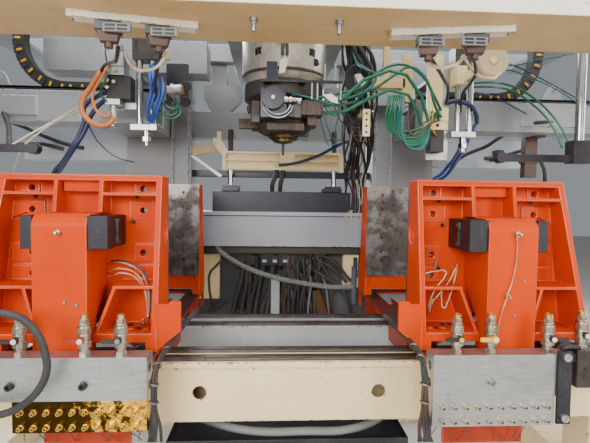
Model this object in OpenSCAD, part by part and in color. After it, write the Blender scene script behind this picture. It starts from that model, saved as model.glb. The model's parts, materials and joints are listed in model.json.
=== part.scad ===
// Twin-station blow moulding machine seen from its front.
// X runs to the right, Y to the back, Z up; the origin is on the floor in the machine's middle plane.

/* [Frame] */
// Length of the two rail beams and of the top front beam
frame_l = 3500; // [3200:10:4200]
// Top of the rail beams above the floor
rail_beam_top = 905; // [800:5:1000]
// Height of the front rail beam's box section
front_beam_h = 222; // [180:1:260]
// Depth of the front rail beam's box section
front_beam_d = 150; // [120:1:200]
// Distance of the front rail beam's front face ahead of the head axis
front_beam_y = 560; // [520:1:700]
// Depth of the middle rail beam's box section
middle_beam_d = 190; // [150:1:240]
// Wall of the box sections
box_wall = 12; // [6:1:20]
// Radius of the two lifting holes through the front rail beam
lift_hole_r = 25; // [15:1:35]
// Distance between the two lifting holes
lift_hole_pitch = 664; // [500:1:800]
// Underside of the top front beam above the floor
top_beam_z = 2096; // [1950:1:2300]
// Height of the top front beam
top_beam_h = 300; // [200:1:400]
// Inner face of each rear column from the machine's middle
column_x = 611; // [560:1:800]
// Width of each rear column
column_w = 389; // [250:1:450]
// Front face of the rear columns behind the head axis
column_y = 750; // [700:1:900]
// Half distance between the floor anchors, left to right
anchor_x = 1600; // [1400:10:1900]
// Half distance between the floor anchors, front to back
anchor_y = 700; // [600:10:900]
// Radius of the floor anchor holes
anchor_r = 11; // [8:0.5:14]

/* [Stations] */
// Middle of each platen from the machine's middle
station_x = 770; // [720:1:900]
// Width of a platen at its top
platen_w = 580; // [500:1:700]
// Height of a platen
platen_h = 601; // [500:1:700]
// Underside of the platens above the floor
platen_z = 985; // [960:1:1100]
// Open distance between the two mould faces of a station
daylight = 760; // [640:1:900]
// Thickness of the steel mould plate on each platen
mould_plate_t = 16; // [12:1:40]
// Thickness of a platen's cast web
platen_web = 28; // [20:1:50]
// Depth of a platen's ribs at the top
rib_depth_top = 70; // [50:1:120]
// Depth of a platen's ribs at the foot
rib_depth_foot = 154; // [100:1:200]
// Thickness of a platen's side walls
side_wall_t = 22; // [14:1:40]
// Thickness of a platen's middle ribs
rib_t = 15; // [10:1:25]
// How far a platen's outer wall leans out at its foot
wall_lean = 70; // [0:1:90]
// Radius of the mould fixing holes in a platen
fixing_hole_r = 12; // [8:0.5:16]
// Half distance between the two columns of fixing holes
fixing_half_x = 207; // [150:1:240]

/* [Clamp] */
// Closing travel of each platen
clamp_travel = 240; // [150:1:260]
// Width of a clamp arm
arm_w = 183; // [140:1:220]
// Top of the clamp arms above the floor
arm_top = 1446; // [1300:1:1500]
// Radius of the bend at the top of a clamp arm
arm_bend_r = 48; // [20:1:70]
// Thickness of a clamp arm's plates
arm_skin = 8; // [6:1:20]
// Width of a crosshead block
block_w = 291; // [230:1:340]
// Height of a crosshead block
block_h = 114; // [80:1:140]
// Depth of a crosshead block
block_d = 192; // [150:1:220]
// Radius of the cross pin in a crosshead block
cross_pin_r = 25; // [15:1:32]
// Radius of the clamp cylinder's barrel
clamp_barrel_r = 44; // [38:1:50]
// Radius of the clamp cylinder's rods
clamp_rod_r = 18; // [12:1:24]
// Height of the clamp cylinder's axis above the floor
clamp_axis_z = 1000; // [995:1:1030]

/* [Manifold] */
// Width of the left cooling water manifold's upper block
manifold_w = 585; // [500:1:640]
// Width of the nipple strip below it
strip_w = 426; // [400:1:500]
// Height of a manifold's upper block
manifold_h = 143; // [110:1:180]
// Depth of a manifold
manifold_d = 73; // [50:1:100]
// Height of the nipple strip below it
strip_h = 103; // [80:1:140]
// Distance between hose nipples along the strip
nipple_pitch = 40.4; // [30:0.1:50]
// Nipples in each row
nipple_count = 10; // [6:1:12]

/* [Head] */
// Distance of the head's axis left of the machine's middle
head_left = 21; // [0:1:40]
// Radius of the parison head's drum
drum_r = 198; // [150:1:240]
// Lower end of the drum above the floor
drum_z = 2040; // [2000:1:2080]
// Radius of the head's lower body
head_body_r = 142; // [110:1:170]
// Radius of the die
die_r = 47; // [30:1:70]
// Lower face of the die above the floor
die_z = 1780; // [1740:1:1850]
// Travel of the core that sets the wall thickness
core_travel = 20; // [10:1:30]

/* [Extruder] */
// Height of the extruder barrel's axis above the platform's deck
barrel_rise = 104; // [100:1:200]
// Outer radius of the extruder barrel
barrel_r = 75; // [60:1:100]
// Radius of the extruder screw
screw_r = 40; // [30:1:50]

/* [Hidden] */
$fn = 48;
running = 0.3;
station_in = station_x - platen_w / 2;
station_out = station_x + platen_w / 2;
platen_top = platen_z + platen_h;
mould_y = daylight / 2;
web_y = mould_y + mould_plate_t;
web_back = web_y + platen_web;
rib_y_top = web_back + rib_depth_top;
rib_y_foot = web_back + rib_depth_foot;
arm_x = station_x + 26;
block_x = station_x + 12;
block_z = arm_top - arm_skin - 0.5 - block_h;
arm_y = web_back + block_d;
arm_front = arm_y + 0.5 + arm_skin;
cylinder_half = clamp_travel + 52;
manifold_in = station_in - 5;
manifold_front = arm_front + 102;
manifold_top = platen_z;
strip_z = manifold_top - manifold_h - strip_h;
rail_h = 16;
rail_w = 30;
rail_top = rail_beam_top + rail_h;
middle_y = middle_beam_d / 2;
rail_rows = [
  -front_beam_y + 30, -front_beam_y + front_beam_d - 30, -middle_y + 30, middle_y - 30
];
valve_x = [94, 213, 418];
slide_rods = [68, 128];
slide_rod_r = 15;
deck_z = rail_top + 8;
deck_t = 15;
deck_top = deck_z + deck_t;
guide_h = 6;
guide_top = deck_top + guide_h;
shoe_w = 42;
post_w = 180;
post_x = anchor_x - post_w / 2;
column_d = 300;
platform_z = top_beam_z + top_beam_h;
bracket_l = 409;
pad_t = 8;
hole_z = [552, 469, 305.5, 223.6];
upper_beam_y = 200;
upper_beam_z = 1890;
upper_beam_h = 158;
rack_z = upper_beam_z + upper_beam_h;
chain_w = 60;
die_top = die_z + 35;
core_rod_r = 7;
drive_y = 1160;
floor_z = platform_z + 60;
barrel_z = floor_z + barrel_rise;
drum_top = barrel_z + 140;
valve_block_x = [-300, -140, -28, 90];
chain_r = 275;
chain_h = 58;
chain_x = 1147;

// A box from its lowest to its highest corner
module slab(low, high) {
  translate(low) cube(high - low);
}

// A box made hollow along X, open at both ends
module box_tube_x(low, high, wall) {
  difference() {
    slab(low, high);
    slab([low[0] - 1, low[1] + wall, low[2] + wall], [high[0] + 1, high[1] - wall, high[2] - wall]);
  }
}

// A box made hollow along Z, open at both ends
module box_tube_z(low, high, wall) {
  difference() {
    slab(low, high);
    slab([low[0] + wall, low[1] + wall, low[2] - 1], [high[0] - wall, high[1] - wall, high[2] + 1]);
  }
}

// A round bar along X, Y or Z that starts at a point
module bar_x(at, r, length) {
  translate(at) rotate([0, 90, 0]) cylinder(r = r, h = length);
}

module bar_y(at, r, length) {
  translate(at) rotate([-90, 0, 0]) cylinder(r = r, h = length);
}

module bar_z(at, r, length) {
  translate(at) cylinder(r = r, h = length);
}

// A hexagon screw head along Y with its shank behind it
module cap_screw_y(at, r, head, length) {
  translate(at) rotate([-90, 0, 0]) {
    difference() {
      cylinder(r = r * 1.5, h = head);
      translate([0, 0, -1]) cylinder(r = r * 0.8, h = head * 0.6, $fn = 6);
    }
    translate([0, 0, head]) cylinder(r = r, h = length);
  }
}

// The way a hose's path runs at point i
function way_at(path, i) =
  let(step = path[min(i + 1, len(path) - 1)] - path[max(i - 1, 0)])
    step / norm(step);

// What is left of a direction across a path after the path has turned
function turned_side(side, way) =
  let(flat = side - (side * way) * way)
    flat / norm(flat);

// A direction across the path at each point, carried along it without twist
function path_sides(path) =
  let(last = len(path) - 1, first_way = way_at(path, 0))
    [for (
      i = 0, side = turned_side(abs(first_way[0]) > 0.9 ? [0, 1, 0] : [1, 0, 0], first_way);
      i <= last;
      side = turned_side(side, way_at(path, min(i + 1, last))), i = i + 1
    ) side];

// A plain hose of one radius that follows a route's points
module hose(path, r, sides = 8) {
  across = path_sides(path);
  rings = [
    for (i = [0 : len(path) - 1], k = [0 : sides - 1])
      let(over = cross(across[i], way_at(path, i)))
        path[i] + r * (cos(k * 360 / sides) * across[i] + sin(k * 360 / sides) * over)
  ];
  walls = [
    for (i = [0 : len(path) - 2], k = [0 : sides - 1])
      let(a = i * sides + k, b = i * sides + (k + 1) % sides)
        [a, a + sides, b + sides, b]
  ];
  first = [for (k = [0 : sides - 1]) k];
  last = [for (k = [sides - 1 : -1 : 0]) (len(path) - 1) * sides + k];
  polyhedron(points = rings, faces = concat(walls, [first, last]));
}

// The left station is the right one mirrored, and each rear half its front half mirrored
module station(left = false, rear = false) {
  mirror([left ? 1 : 0, 0, 0]) mirror([0, rear ? 1 : 0, 0]) children();
}

module both_sides() {
  children();
  mirror([1, 0, 0]) children();
}

// A flat outline in X and Z given thickness along Y, from y0 back to y1
module plate_xz(y0, y1) {
  translate([0, y1, 0]) rotate([90, 0, 0]) linear_extrude(y1 - y0) children();
}

// A flat outline in Y and Z given thickness along X, from x0 to x1
module plate_yz(x0, x1) {
  translate([x0, 0, 0]) rotate([90, 0, 90]) linear_extrude(x1 - x0) children();
}

// Frame

module base_frame() {
  skid_h = 150;
  back_y = column_y + column_d;
  color("wheat") {
    both_sides() {
      difference() {
        slab([post_x, -manifold_front - 60, 0], [post_x + post_w, back_y, skid_h]);
        slab([post_x + box_wall, -manifold_front - 48, 16], [post_x + post_w + 1, back_y - 12, skid_h - box_wall]);
        for (y = [-anchor_y, anchor_y])
          bar_z([anchor_x, y, -1], anchor_r, 20);
      }
      slab([post_x, -front_beam_y, skid_h],
        [post_x + post_w, -front_beam_y + front_beam_d, rail_beam_top - front_beam_h]);
      slab([post_x, -middle_y, skid_h], [post_x + post_w, middle_y, rail_beam_top - 190]);
      slab([post_x, -manifold_front - 60, skid_h], [post_x + post_w, -manifold_front + 115, top_beam_z]);
    }
    for (y = [column_y, column_y + column_d - 90])
      slab([-post_x, y, 0], [post_x, y + 90, skid_h]);
  }
}

module front_rail_beam() {
  z = rail_beam_top - front_beam_h;
  color("bisque") difference() {
    union() {
      box_tube_x([-frame_l / 2, -front_beam_y, z],
        [frame_l / 2, -front_beam_y + front_beam_d, rail_beam_top], box_wall);
      slab([-station_in - 40, -front_beam_y - 3, rail_beam_top - 22],
        [station_in + 40, -front_beam_y, rail_beam_top]);
    }
    for (x = [-lift_hole_pitch / 2, lift_hole_pitch / 2])
      bar_y([x, -front_beam_y - 5, z + front_beam_h * 0.49], lift_hole_r, front_beam_d + 10);
  }
}

module middle_rail_beam() {
  tray_x = 460;
  color("lightgray") box_tube_x([-frame_l / 2, -middle_y, rail_beam_top - 190],
    [frame_l / 2, middle_y, rail_beam_top], box_wall);
  color("dimgray") {
    difference() {
      slab([-tray_x, -front_beam_y + 30, 560], [tray_x, middle_y, 596]);
      slab([-tray_x + 5, -front_beam_y + 35, 566], [tray_x - 5, middle_y - 5, 597]);
    }
    for (x = [-tray_x + 60, tray_x - 90])
      slab([x, -middle_y + 20, 566], [x + 30, -middle_y + 60, rail_beam_top - 190]);
  }
}

module rail_outline() {
  w = rail_w / 2;
  polygon([
    [-w, 0], [w, 0], [w, rail_h * 0.35], [w - 3, rail_h * 0.5], [w - 3, rail_h * 0.7],
    [w, rail_h * 0.85], [w, rail_h], [-w, rail_h], [-w, rail_h * 0.85],
    [-w + 3, rail_h * 0.7], [-w + 3, rail_h * 0.5], [-w, rail_h * 0.35]
  ]);
}

module linear_rails() {
  color("dimgray") for (y = rail_rows)
    plate_yz(-anchor_x + 100, anchor_x - 100) translate([y, rail_beam_top]) rail_outline();
}

module rear_columns() {
  color("silver") both_sides() {
    box_tube_z([column_x, column_y, 150],
      [column_x + column_w, column_y + column_d, platform_z], 10);
    slab([column_x - 14, column_y + 20, 150], [column_x, column_y + 34, platform_z]);
    slab([column_x + 90, column_y - 26, 1100], [column_x + 104, column_y, 2114]);
    slab([column_x - 44, column_y - 80, 2114], [column_x + column_w - 14, column_y, platform_z]);
  }
}

module rear_cross_beams() {
  y = column_y + 50;
  dark_x = 460;
  color("lightgray") difference() {
    slab([-column_x + 14, y, 1190], [column_x - 14, y + 160, 1422]);
    slab([-column_x, y + 12, 1202], [column_x, y + 148, 1410]);
  }
  color("silver") slab([-column_x + 14, y + 50, 1135], [column_x - 14, y + 130, 1190]);
  color("darkslategray") {
    box_tube_x([-dark_x, y, 1422], [dark_x, y + 110, 1558], 8);
    slab([-column_x, y + 100, 1653], [column_x, y + 160, 1699]);
  }
}

module stretcher_frame() {
  y = column_y + 40;
  x = 380;
  post = 346;
  color("tan") {
    slab([-x, y + 20, 1701], [x, y + 60, 1819]);
    for (z = [1701, 1757, 1804])
      slab([-x, y, z], [x, y + 20, z + 15]);
    both_sides() slab([x - 12, y, 1716], [x, y + 20, 1804]);
  }
  color("silver") both_sides() {
    difference() {
      bar_z([post, y + 40, 1596], 17, 368);
      slab([post - 20, y + 19.9, 1701], [post + 20, y + 60.1, 1819]);
    }
  }
  color("darkslategray") both_sides()
    slab([post - 66, y + 14, 1558], [post + 48, y + 70, 1596]);
}

module head_support_frame() {
  y = column_y + 110;
  color("silver") {
    slab([-column_x, y, 1906], [column_x, y + 100, 2086]);
    both_sides() {
      slab([375, y, 2264], [482, y + 90, platform_z]);
      slab([275, y, 2172], [526, y + 90, 2264]);
      plate_xz(y, y + 90) polygon([[354, 2086], [482, 2086], [526, 2172], [275, 2172]]);
    }
  }
}

module top_front_beam() {
  y = -manifold_front - 60;
  z = top_beam_z;
  color("ivory") {
    box_tube_x([-frame_l / 2, y, z], [frame_l / 2, y + 175, z + top_beam_h], box_wall);
    slab([-frame_l / 2, y + 175, z + 3], [frame_l / 2, y + 345, z + 18]);
    slab([-frame_l / 2, y + 330, z + 18], [frame_l / 2, y + 345, z + 130]);
  }
  color("silver") for (x = [-141, 141]) {
    bar_z([x, y + 105, z - 46], 8, 46);
    translate([x, y + 105, z - 14]) cylinder(r = 15, h = 14, $fn = 6);
  }
  color("antiquewhite") both_sides() plug_bracket_place() {
    slab([0, -6, -24], [bracket_l, 0, 0]);
    slab([0, 0, -8], [bracket_l, 90, 0]);
    for (x = [0, bracket_l - 6])
      plate_yz(x, x + 6) polygon([[-6, -24], [0, -24], [90, -8], [90, 0], [-6, 0]]);
  }
}

// The slanted brackets' own frame: X along the bracket, Y back, Z up from the beam's underside
module plug_bracket_place() {
  translate([329, -manifold_front + 99.5, top_beam_z]) rotate([0, 0, -10.4]) children();
}

module plug_connectors() {
  color("slategray") both_sides() plug_bracket_place()
    for (x = [87, 242]) {
      slab([x + 8, 2, -30], [x + 74, 22, -8]);
      difference() {
        slab([x, -14, -58], [x + 82, 30, -30]);
        for (dx = [8, 74], dy = [-4, 20])
          bar_z([x + dx, dy, -59], 3, 12);
      }
      plate_xz(-8, 26) polygon([
        [x + 5, -58], [x + 77, -58], [x + 68, -92], [x + 14, -92]
      ]);
      bar_z([x + 41, 9, -110], 13, 19);
    }
}

module upper_beams() {
  y = upper_beam_y;
  z = upper_beam_z;
  color("gainsboro") both_sides() {
    box_tube_x([680, y, z], [frame_l / 2, y + 190, z + upper_beam_h], box_wall);
    slab([1273, y - 12, z + 30], [frame_l / 2 - 60, y, z + 126]);
    slab([column_x + 110, y + 190, z], [column_x + column_w, column_y, z + upper_beam_h]);
    difference() {
      plate_xz(y + 150, y + 162) polygon([
        [1470, rack_z], [1624, rack_z], [1590, rack_z + 112], [1574, rack_z + 130],
        [1552, rack_z + 138], [1530, rack_z + 130], [1514, rack_z + 112]
      ]);
      bar_y([1552, y + 140, rack_z + 102], 14, 40);
    }
  }
  color("dimgray") both_sides() rack(700, 1680);
}

// A toothed rack on an upper beam, its teeth facing up
module rack(x0, x1) {
  pitch = 12.5;
  base = rack_z + 14;
  plate_xz(upper_beam_y + 8, upper_beam_y + 44) polygon(concat(
    [[x1, rack_z], [x0, rack_z]],
    [for (i = [0 : floor((x1 - x0) / pitch) - 1]) each [
      [x0 + i * pitch, base], [x0 + (i + 0.2) * pitch, base + 9],
      [x0 + (i + 0.5) * pitch, base + 9], [x0 + (i + 0.7) * pitch, base]
    ]],
    [[x1, base]]
  ));
}

// One link of a cable chain, open along X
module chain_link(length) {
  color("black") difference() {
    slab([-length / 2, 0, 0], [length / 2, chain_w, chain_h]);
    slab([-length, 7, 9], [length, chain_w - 7, chain_h - 9]);
  }
}

// A folded cable chain: a straight run on the beam, a half turn outwards and a run back above it
module cable_chains() {
  y = upper_beam_y + 50;
  z = rack_z + running;
  links = 20;
  inner_r = chain_r - chain_h - 0.5;
  pitch = 36;
  both_sides() {
    for (i = [0 : 7], top = [0, 1])
      translate([chain_x - (i + 0.5) * pitch - 0.2, y, z + top * (2 * chain_r - chain_h)])
        chain_link(pitch - 0.3);
    for (i = [0 : links - 1])
      translate([chain_x, y, z + chain_r]) rotate([0, 180 - (i + 0.5) * 180 / links, 0])
        translate([0, 0, inner_r]) chain_link(2 * inner_r * tan(90 / links) - 0.2);
    color("silver") {
      slab([900, -manifold_front - 60, z + 2 * chain_r], [940, y + chain_w, z + 2 * chain_r + 12]);
      slab([900, -manifold_front - 60, platform_z + 110], [940, -manifold_front, z + 2 * chain_r]);
    }
  }
}

module extruder_platform() {
  z = platform_z;
  y = -manifold_front - 60;
  color("silver") {
    both_sides() {
      slab([250, y + 175, z], [330, column_y + 620, z + 110]);
      slab([column_x, column_y, z], [column_x + column_w, column_y + column_d, z + 20]);
      slab([330, column_y + 40, z], [column_x, column_y + 120, z + 110]);
      slab([column_x, column_y + 40, z + 20], [frame_l / 2 - 60, column_y + 120, z + 110]);
      slab([post_x, y, z], [post_x + post_w, column_y + 120, z + 20]);
    }
    slab([-frame_l / 2 + 60, y, z], [frame_l / 2 - 60, y + 175, z + 110]);
    slab([-250, 260, z + 30], [250, column_y + 620, floor_z]);
    slab([-1355, 430, 2215], [-450, 600, z]);
  }
}

module side_lift_columns() {
  x = 1395;
  y = -100;
  color("silver") both_sides() {
    bar_z([x, y, 1803], 20, platform_z - 1803);
    slab([x - 40, y - 40, platform_z], [post_x, y + 40, platform_z + 20]);
  }
  color("black") for (side = [-1, 1]) {
    reach = side > 0 ? 1010 : 1140;
    mirror([side < 0 ? 1 : 0, 0, 0]) {
      slab([x - 45, y - 34, 1695], [x + 45, y + 34, 1803]);
      slab([reach, y - 17, 1700], [x - 45, y + 17, 1734]);
      slab([x + 45, y - 17, 1700], [x + 250, y + 17, 1734]);
      bar_y([reach, y - 22, 1717], 26, 44);
    }
  }
}

// Parison head and extruder, which share the head's axis
module on_head_axis() {
  translate([-head_left, 0, 0]) children();
}

module head_drum() {
  z = drum_z;
  color("silver") difference() {
    translate([0, 0, z]) rotate_extrude() polygon([
      [0, 0], [drum_r - 14, 0], [drum_r, 34], [drum_r, drum_top - z - 20],
      [drum_r - 20, drum_top - z], [0, drum_top - z]
    ]);
    for (a = [-38, 0, 38])
      rotate([0, 0, a]) slab([a == 0 ? -8 : -17, -drum_r - 5, z + (a == 0 ? 120 : 104)],
        [a == 0 ? 8 : 17, -drum_r + 22, z + (a == 0 ? 260 : 138)]);
  }
  color("silver") slab([-170, -60, drum_top], [170, 60, drum_top + 30]);
  color("silver") difference() {
    slab([-130, 90, barrel_z - 130], [130, drum_r + 6, barrel_z + 130]);
    translate([0, 0, z]) cylinder(r = drum_r - 1, h = drum_top - z - 20);
  }
  color("silver") both_sides() slab([drum_r - 20, -70, platform_z - 24], [330, 70, platform_z]);
}

module head_body() {
  color("dimgray") translate([0, 0, 1945]) difference() {
    rotate_extrude() polygon([
      [0, 0], [150, 0], [188, 30], [188, drum_z - 1945], [0, drum_z - 1945]
    ]);
    for (a = [0 : 30 : 330])
      rotate([0, 0, a + 15]) translate([174, 0, -1]) cylinder(r = 7, h = 60);
    translate([0, 0, -1]) cylinder(r = core_rod_r + 0.06, h = 60);
  }
  color("rosybrown") translate([0, 0, die_top]) rotate_extrude() polygon([
    [core_rod_r + 0.06, 0], [96, 0], [118, 12], [head_body_r, 38], [head_body_r, 1945 - die_top],
    [core_rod_r + 0.06, 1945 - die_top]
  ]);
}

module head_die() {
  color("darkgoldenrod") translate([0, 0, die_z]) difference() {
    union() {
      cylinder(r = die_r, h = die_top - die_z);
      translate([0, 0, 17]) cylinder(r = die_r + 24, h = die_top - die_z - 17);
    }
    translate([0, 0, -1]) cylinder(r = die_r - 17, h = die_top - die_z - 7);
    cylinder(r = core_rod_r + 0.06, h = 60);
  }
}

module die_core() {
  color("black") translate([0, 0, die_z - 62]) {
    cylinder(r = core_rod_r, h = 1945 + 30 - die_z + 62);
    translate([0, 0, 58]) cylinder(r = die_r - 21, h = 9);
  }
}

// The head's lower body with a hair of room round it, which seats what is bolted on it
module head_seat() {
  translate([0, 0, 1945]) cylinder(r = 188.1, h = drum_z - 1945);
  translate([0, 0, die_top]) cylinder(r = head_body_r + 0.1, h = 1945 - die_top + 0.1);
  translate([0, 0, drum_z]) cylinder(r = drum_r + 0.1, h = 200);
}

module head_actuator() {
  x = -52;
  difference() {
    union() {
      color("darkslateblue") {
        slab([x - 54, -206, 1862], [x + 62, -110, 1920]);
        slab([x - 54, -206, 1920], [x + 56, -140, 1990]);
        bar_y([x, -230, 1942], 48, 30);
        bar_y([x, -234, 1942], 8, 4);
      }
      color("tan") {
        slab([-108, -222, 2012], [250, -210, 2024]);
        slab([-96, -210, 2012], [-60, -150, 2024]);
        slab([60, -210, 2012], [90, -150, 2024]);
        slab([16, -196, 1868], [46, -110, 1945]);
        slab([-82, -222, 2024], [-34, -190, 2100]);
      }
      color("darkred") slab([46, -190, 1880], [170, -90, 1944]);
    }
    head_seat();
  }
}

module extruder_barrel() {
  color("silver") difference() {
    union() {
      bar_y([0, drum_r + 6, barrel_z], barrel_r + 45, 46);
      bar_y([0, drum_r + 52, barrel_z], barrel_r, drive_y - drum_r - 52);
      bar_y([0, drive_y - 40, barrel_z], barrel_rise - 2, 40);
      for (y = [drum_r + 120 : 190 : drive_y - 330])
        bar_y([0, y, barrel_z], barrel_r + 12, 150);
      slab([-60, drive_y - 150, barrel_z], [60, drive_y - 50, barrel_z + barrel_r + 60]);
    }
    bar_y([0, drum_r + 20, barrel_z], screw_r + 0.5, drive_y);
    slab([-36, drive_y - 130, barrel_z], [36, drive_y - 70, barrel_z + barrel_r + 61]);
  }
  color("silver") for (y = [drum_r + 300, drive_y - 240])
    slab([-100, y, floor_z], [100, y + 30, barrel_z - barrel_r - 11]);
}

module extruder_screw() {
  core = screw_r * 0.68;
  color("dimgray") {
    bar_y([0, drum_r + 70, barrel_z], core, drive_y - drum_r - 70 + 60);
    translate([0, drum_r + 30, barrel_z]) rotate([-90, 0, 0])
      cylinder(r1 = 8, r2 = core, h = 40);
    for (y = [drum_r + 90 : 70 : drive_y - 20])
      bar_y([0, y, barrel_z], screw_r, 9);
  }
}

module extruder_drive() {
  y = drive_y;
  color("royalblue") difference() {
    union() {
      slab([-180, y, floor_z], [180, y + 260, barrel_z + 190]);
      slab([-220, y + 20, floor_z], [220, y + 240, floor_z + 30]);
    }
    bar_y([0, y - 1, barrel_z], screw_r * 0.68 + 0.5, 90);
  }
  color("dimgray") {
    bar_y([0, y + 260, barrel_z + 40], 130, 24);
    bar_y([0, y + 284, barrel_z + 40], 112, 240);
    slab([-70, y + 320, barrel_z + 140], [70, y + 440, barrel_z + 200]);
  }
}

module hopper() {
  z = barrel_z + barrel_r + 60;
  y = drive_y - 100;
  color("silver") translate([0, y, z]) difference() {
    union() {
      translate([-60, -50, 0]) cube([120, 100, 14]);
      rotate_extrude($fn = 96) polygon([
        [0, 0], [44, 0], [44, 50], [210, 280], [210, 470], [222, 470], [222, 480], [0, 480]
      ]);
    }
    rotate_extrude($fn = 96) polygon([
      [0, -1], [36, -1], [36, 54], [202, 284], [202, 481], [0, 481]
    ]);
  }
}

module hydraulic_panel() {
  y = column_y + 60;
  color("antiquewhite") slab([-column_x, y + 120, 600], [column_x, y + 135, 1190]);
  color("silver") slab([-450, y + 30, 600], [450, y + 120, 640]);
  color("silver") for (x = valve_block_x) {
    slab([x, y + 40, 1049], [x + 100, y + 120, 1134]);
    slab([x + 10, y + 20, 1056], [x + 90, y + 40, 1119]);
    for (k = [0 : 2])
      bar_z([x + 20 + k * 30, y + 78, 1026], 13, 23);
  }
  color("gray") {
    bar_z([491, column_y + 36, 812], 18, 250);
    slab([505, column_y + 16, 990], [column_x - 14, column_y + 56, 1030]);
  }
}

// Hoses that the machine holds at both ends, each along its own route

module hydraulic_hoses() {
  y = column_y + 138;
  color("black") for (x = valve_block_x, k = [0, 2]) {
    at = x + 20 + k * 30;
    lean = x < -200 ? -60 : x < 0 ? -30 : 50;
    hose([
      [at, y, 1026], [at, y, 994], [at + lean * 0.2, y - 12, 920], [at + lean * 0.7, y - 20, 790],
      [at + lean, y - 8, 700], [at + lean, y, 670], [at + lean, y, 640]
    ], 13);
  }
  color("gray") hose([
    [-430, 826, 1190], [-430, 826, 1168], [-404, 812, 1136], [-344, 790, 1106], [-240, 776, 1060],
    [-129, 768, 1018], [0, 766, 984], [124, 766, 959], [240, 768, 944], [326, 774, 936],
    [400, 782, 932], [440, 786, 931], [472.8, 786, 931]
  ], 17);
}

module head_hoses() {
  color("seagreen") {
    hose([
      [149, -168, 1928], [175, -168, 1928], [245, -176, 1962], [330, -190, 2040], [440, -200, 2080],
      [520, -190, 2066], [600, -160, 1980], [650, -120, 1880]
    ], 8);
    hose([
      [149, -144, 1898], [175, -144, 1898], [260, -150, 1910], [350, -160, 1960], [450, -165, 2005],
      [540, -160, 1985], [590, -140, 1920], [620, -110, 1860]
    ], 8);
  }
}

// Blow pin units, both of one hand, hung from the upper beams

module blow_unit_frame(x, drop, box_w) {
  block_z = 2069 - drop;
  color("tan") {
    slab([x - 70, 40, block_z - 140], [x + 40, 60, rack_z + 150]);
    slab([x - 60, 60, rack_z + 60], [x + 40, upper_beam_y + 170, rack_z + 80]);
    slab([x - 60, upper_beam_y + 70, rack_z], [x + 40, upper_beam_y + 170, rack_z + 60]);
    slab([x - 66, -20, block_z + 104], [x - 16, 40, block_z + 150 + drop]);
  }
  color("silver") {
    slab([x - 74, -40, block_z], [x + 6, 40, block_z + 40]);
    slab([x - 74, -44, block_z + 41], [x + 6, 40, block_z + 104]);
    slab([x - 74, -30, block_z + 40], [x + 6, 40, block_z + 41]);
    slab([x + 40, 26, 2150], [x + 165, 60, 2260]);
  }
  color("black") slab([x - 76, -30, block_z - 106], [x - 76 + box_w, 40, block_z]);
  color("dimgray") difference() {
    slab([x + 40, -26, 2150], [x + 160, 26, 2260]);
    for (dx = slide_rods)
      bar_z([x + dx, 0, 2140], slide_rod_r + running, 130);
  }
}

module blow_unit_frames() {
  blow_unit_frame(-station_x, 0, 110);
  blow_unit_frame(station_x, 216, 68);
}

module blow_slide(x) {
  middle = (slide_rods[0] + slide_rods[1]) / 2;
  color("silver") {
    for (dx = slide_rods)
      bar_z([x + dx, 0, 1840], slide_rod_r, 720);
    slab([x + 30, -26, 1822], [x + 152, 26, 1848]);
    slab([x + 40, -20, 2540], [x + 156, 20, 2560]);
    bar_z([x + middle, 0, 1750], 11, 72);
    bar_z([x + middle, 0, 1792], 17, 30);
    translate([x + middle, 0, 1770]) cylinder(r = 22, h = 22, $fn = 6);
  }
}

// Stations

module carriage() {
  inner = station_in + 5;
  outer = station_out - 5;
  half = rib_y_foot + 20;
  color("orangered") {
    difference() {
      slab([inner, -half, deck_z], [outer, half, deck_top]);
      both_ends() slab([inner + 90, 190, deck_z - 1], [outer - 90, half - 70, deck_top + 1]);
    }
    slab([inner, -half, deck_z - 26], [outer - 60, -half + 14, deck_z]);
    slab([inner + 80, -half, deck_z - 320], [inner + 382, -half + 14, deck_z - 26]);
    both_ends() slab([inner, 120, deck_z - 80], [inner + 12, front_beam_y - front_beam_d - 12, deck_z]);
    both_ends() plate_yz(inner + 150, inner + 162) polygon([
      [120, deck_z], [front_beam_y - front_beam_d - 12, deck_z], [120, deck_z - 160]
    ]);
    slab([inner, front_beam_y, deck_z - 80], [inner + 12, half, deck_z]);
    slab([inner + 200, -manifold_front + manifold_d, strip_z + 130],
      [inner + 230, -half, strip_z + 210]);
    slab([inner + 420, -manifold_front + manifold_d, strip_z + 130],
      [inner + 450, -half, strip_z + 210]);
  }
  color("dimgray") {
    for (x = [inner, outer - 32])
      slab([x, -half, deck_top], [x + 32, half, guide_top]);
    for (y = rail_rows, x = [inner + 10, outer - 110])
      difference() {
        slab([x, y - 32, rail_beam_top + 4], [x + 100, y + 32, deck_z]);
        translate([0, y, rail_beam_top]) plate_yz(x - 1, x + 101) rail_space();
      }
  }
  color("gray") clamp_cylinder();
}

module both_ends() {
  children();
  mirror([0, 1, 0]) children();
}

// The space that a rail and its running clearance take up in a bearing block
module rail_space() {
  w = rail_w / 2 + running;
  polygon([
    [-w, -1], [w, -1], [w, rail_h * 0.35], [w - 3, rail_h * 0.5], [w - 3, rail_h * 0.7],
    [w, rail_h * 0.85], [w, rail_h + running], [-w, rail_h + running], [-w, rail_h * 0.85],
    [-w + 3, rail_h * 0.7], [-w + 3, rail_h * 0.5], [-w, rail_h * 0.35]
  ]);
}

module clamp_cylinder() {
  difference() {
    union() {
      bar_y([arm_x, -cylinder_half, clamp_axis_z], clamp_barrel_r, 2 * cylinder_half);
      slab([arm_x - 50, -120, deck_top], [arm_x + 50, 120, clamp_axis_z]);
    }
    both_ends() bar_y([arm_x, 6, clamp_axis_z], clamp_barrel_r - 9, cylinder_half - 26);
    bar_y([arm_x, -cylinder_half - 1, clamp_axis_z], clamp_rod_r + 0.06, cylinder_half - 5);
    bar_y([arm_x, 7, clamp_axis_z], clamp_rod_r + 0.06, cylinder_half);
  }
}

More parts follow.
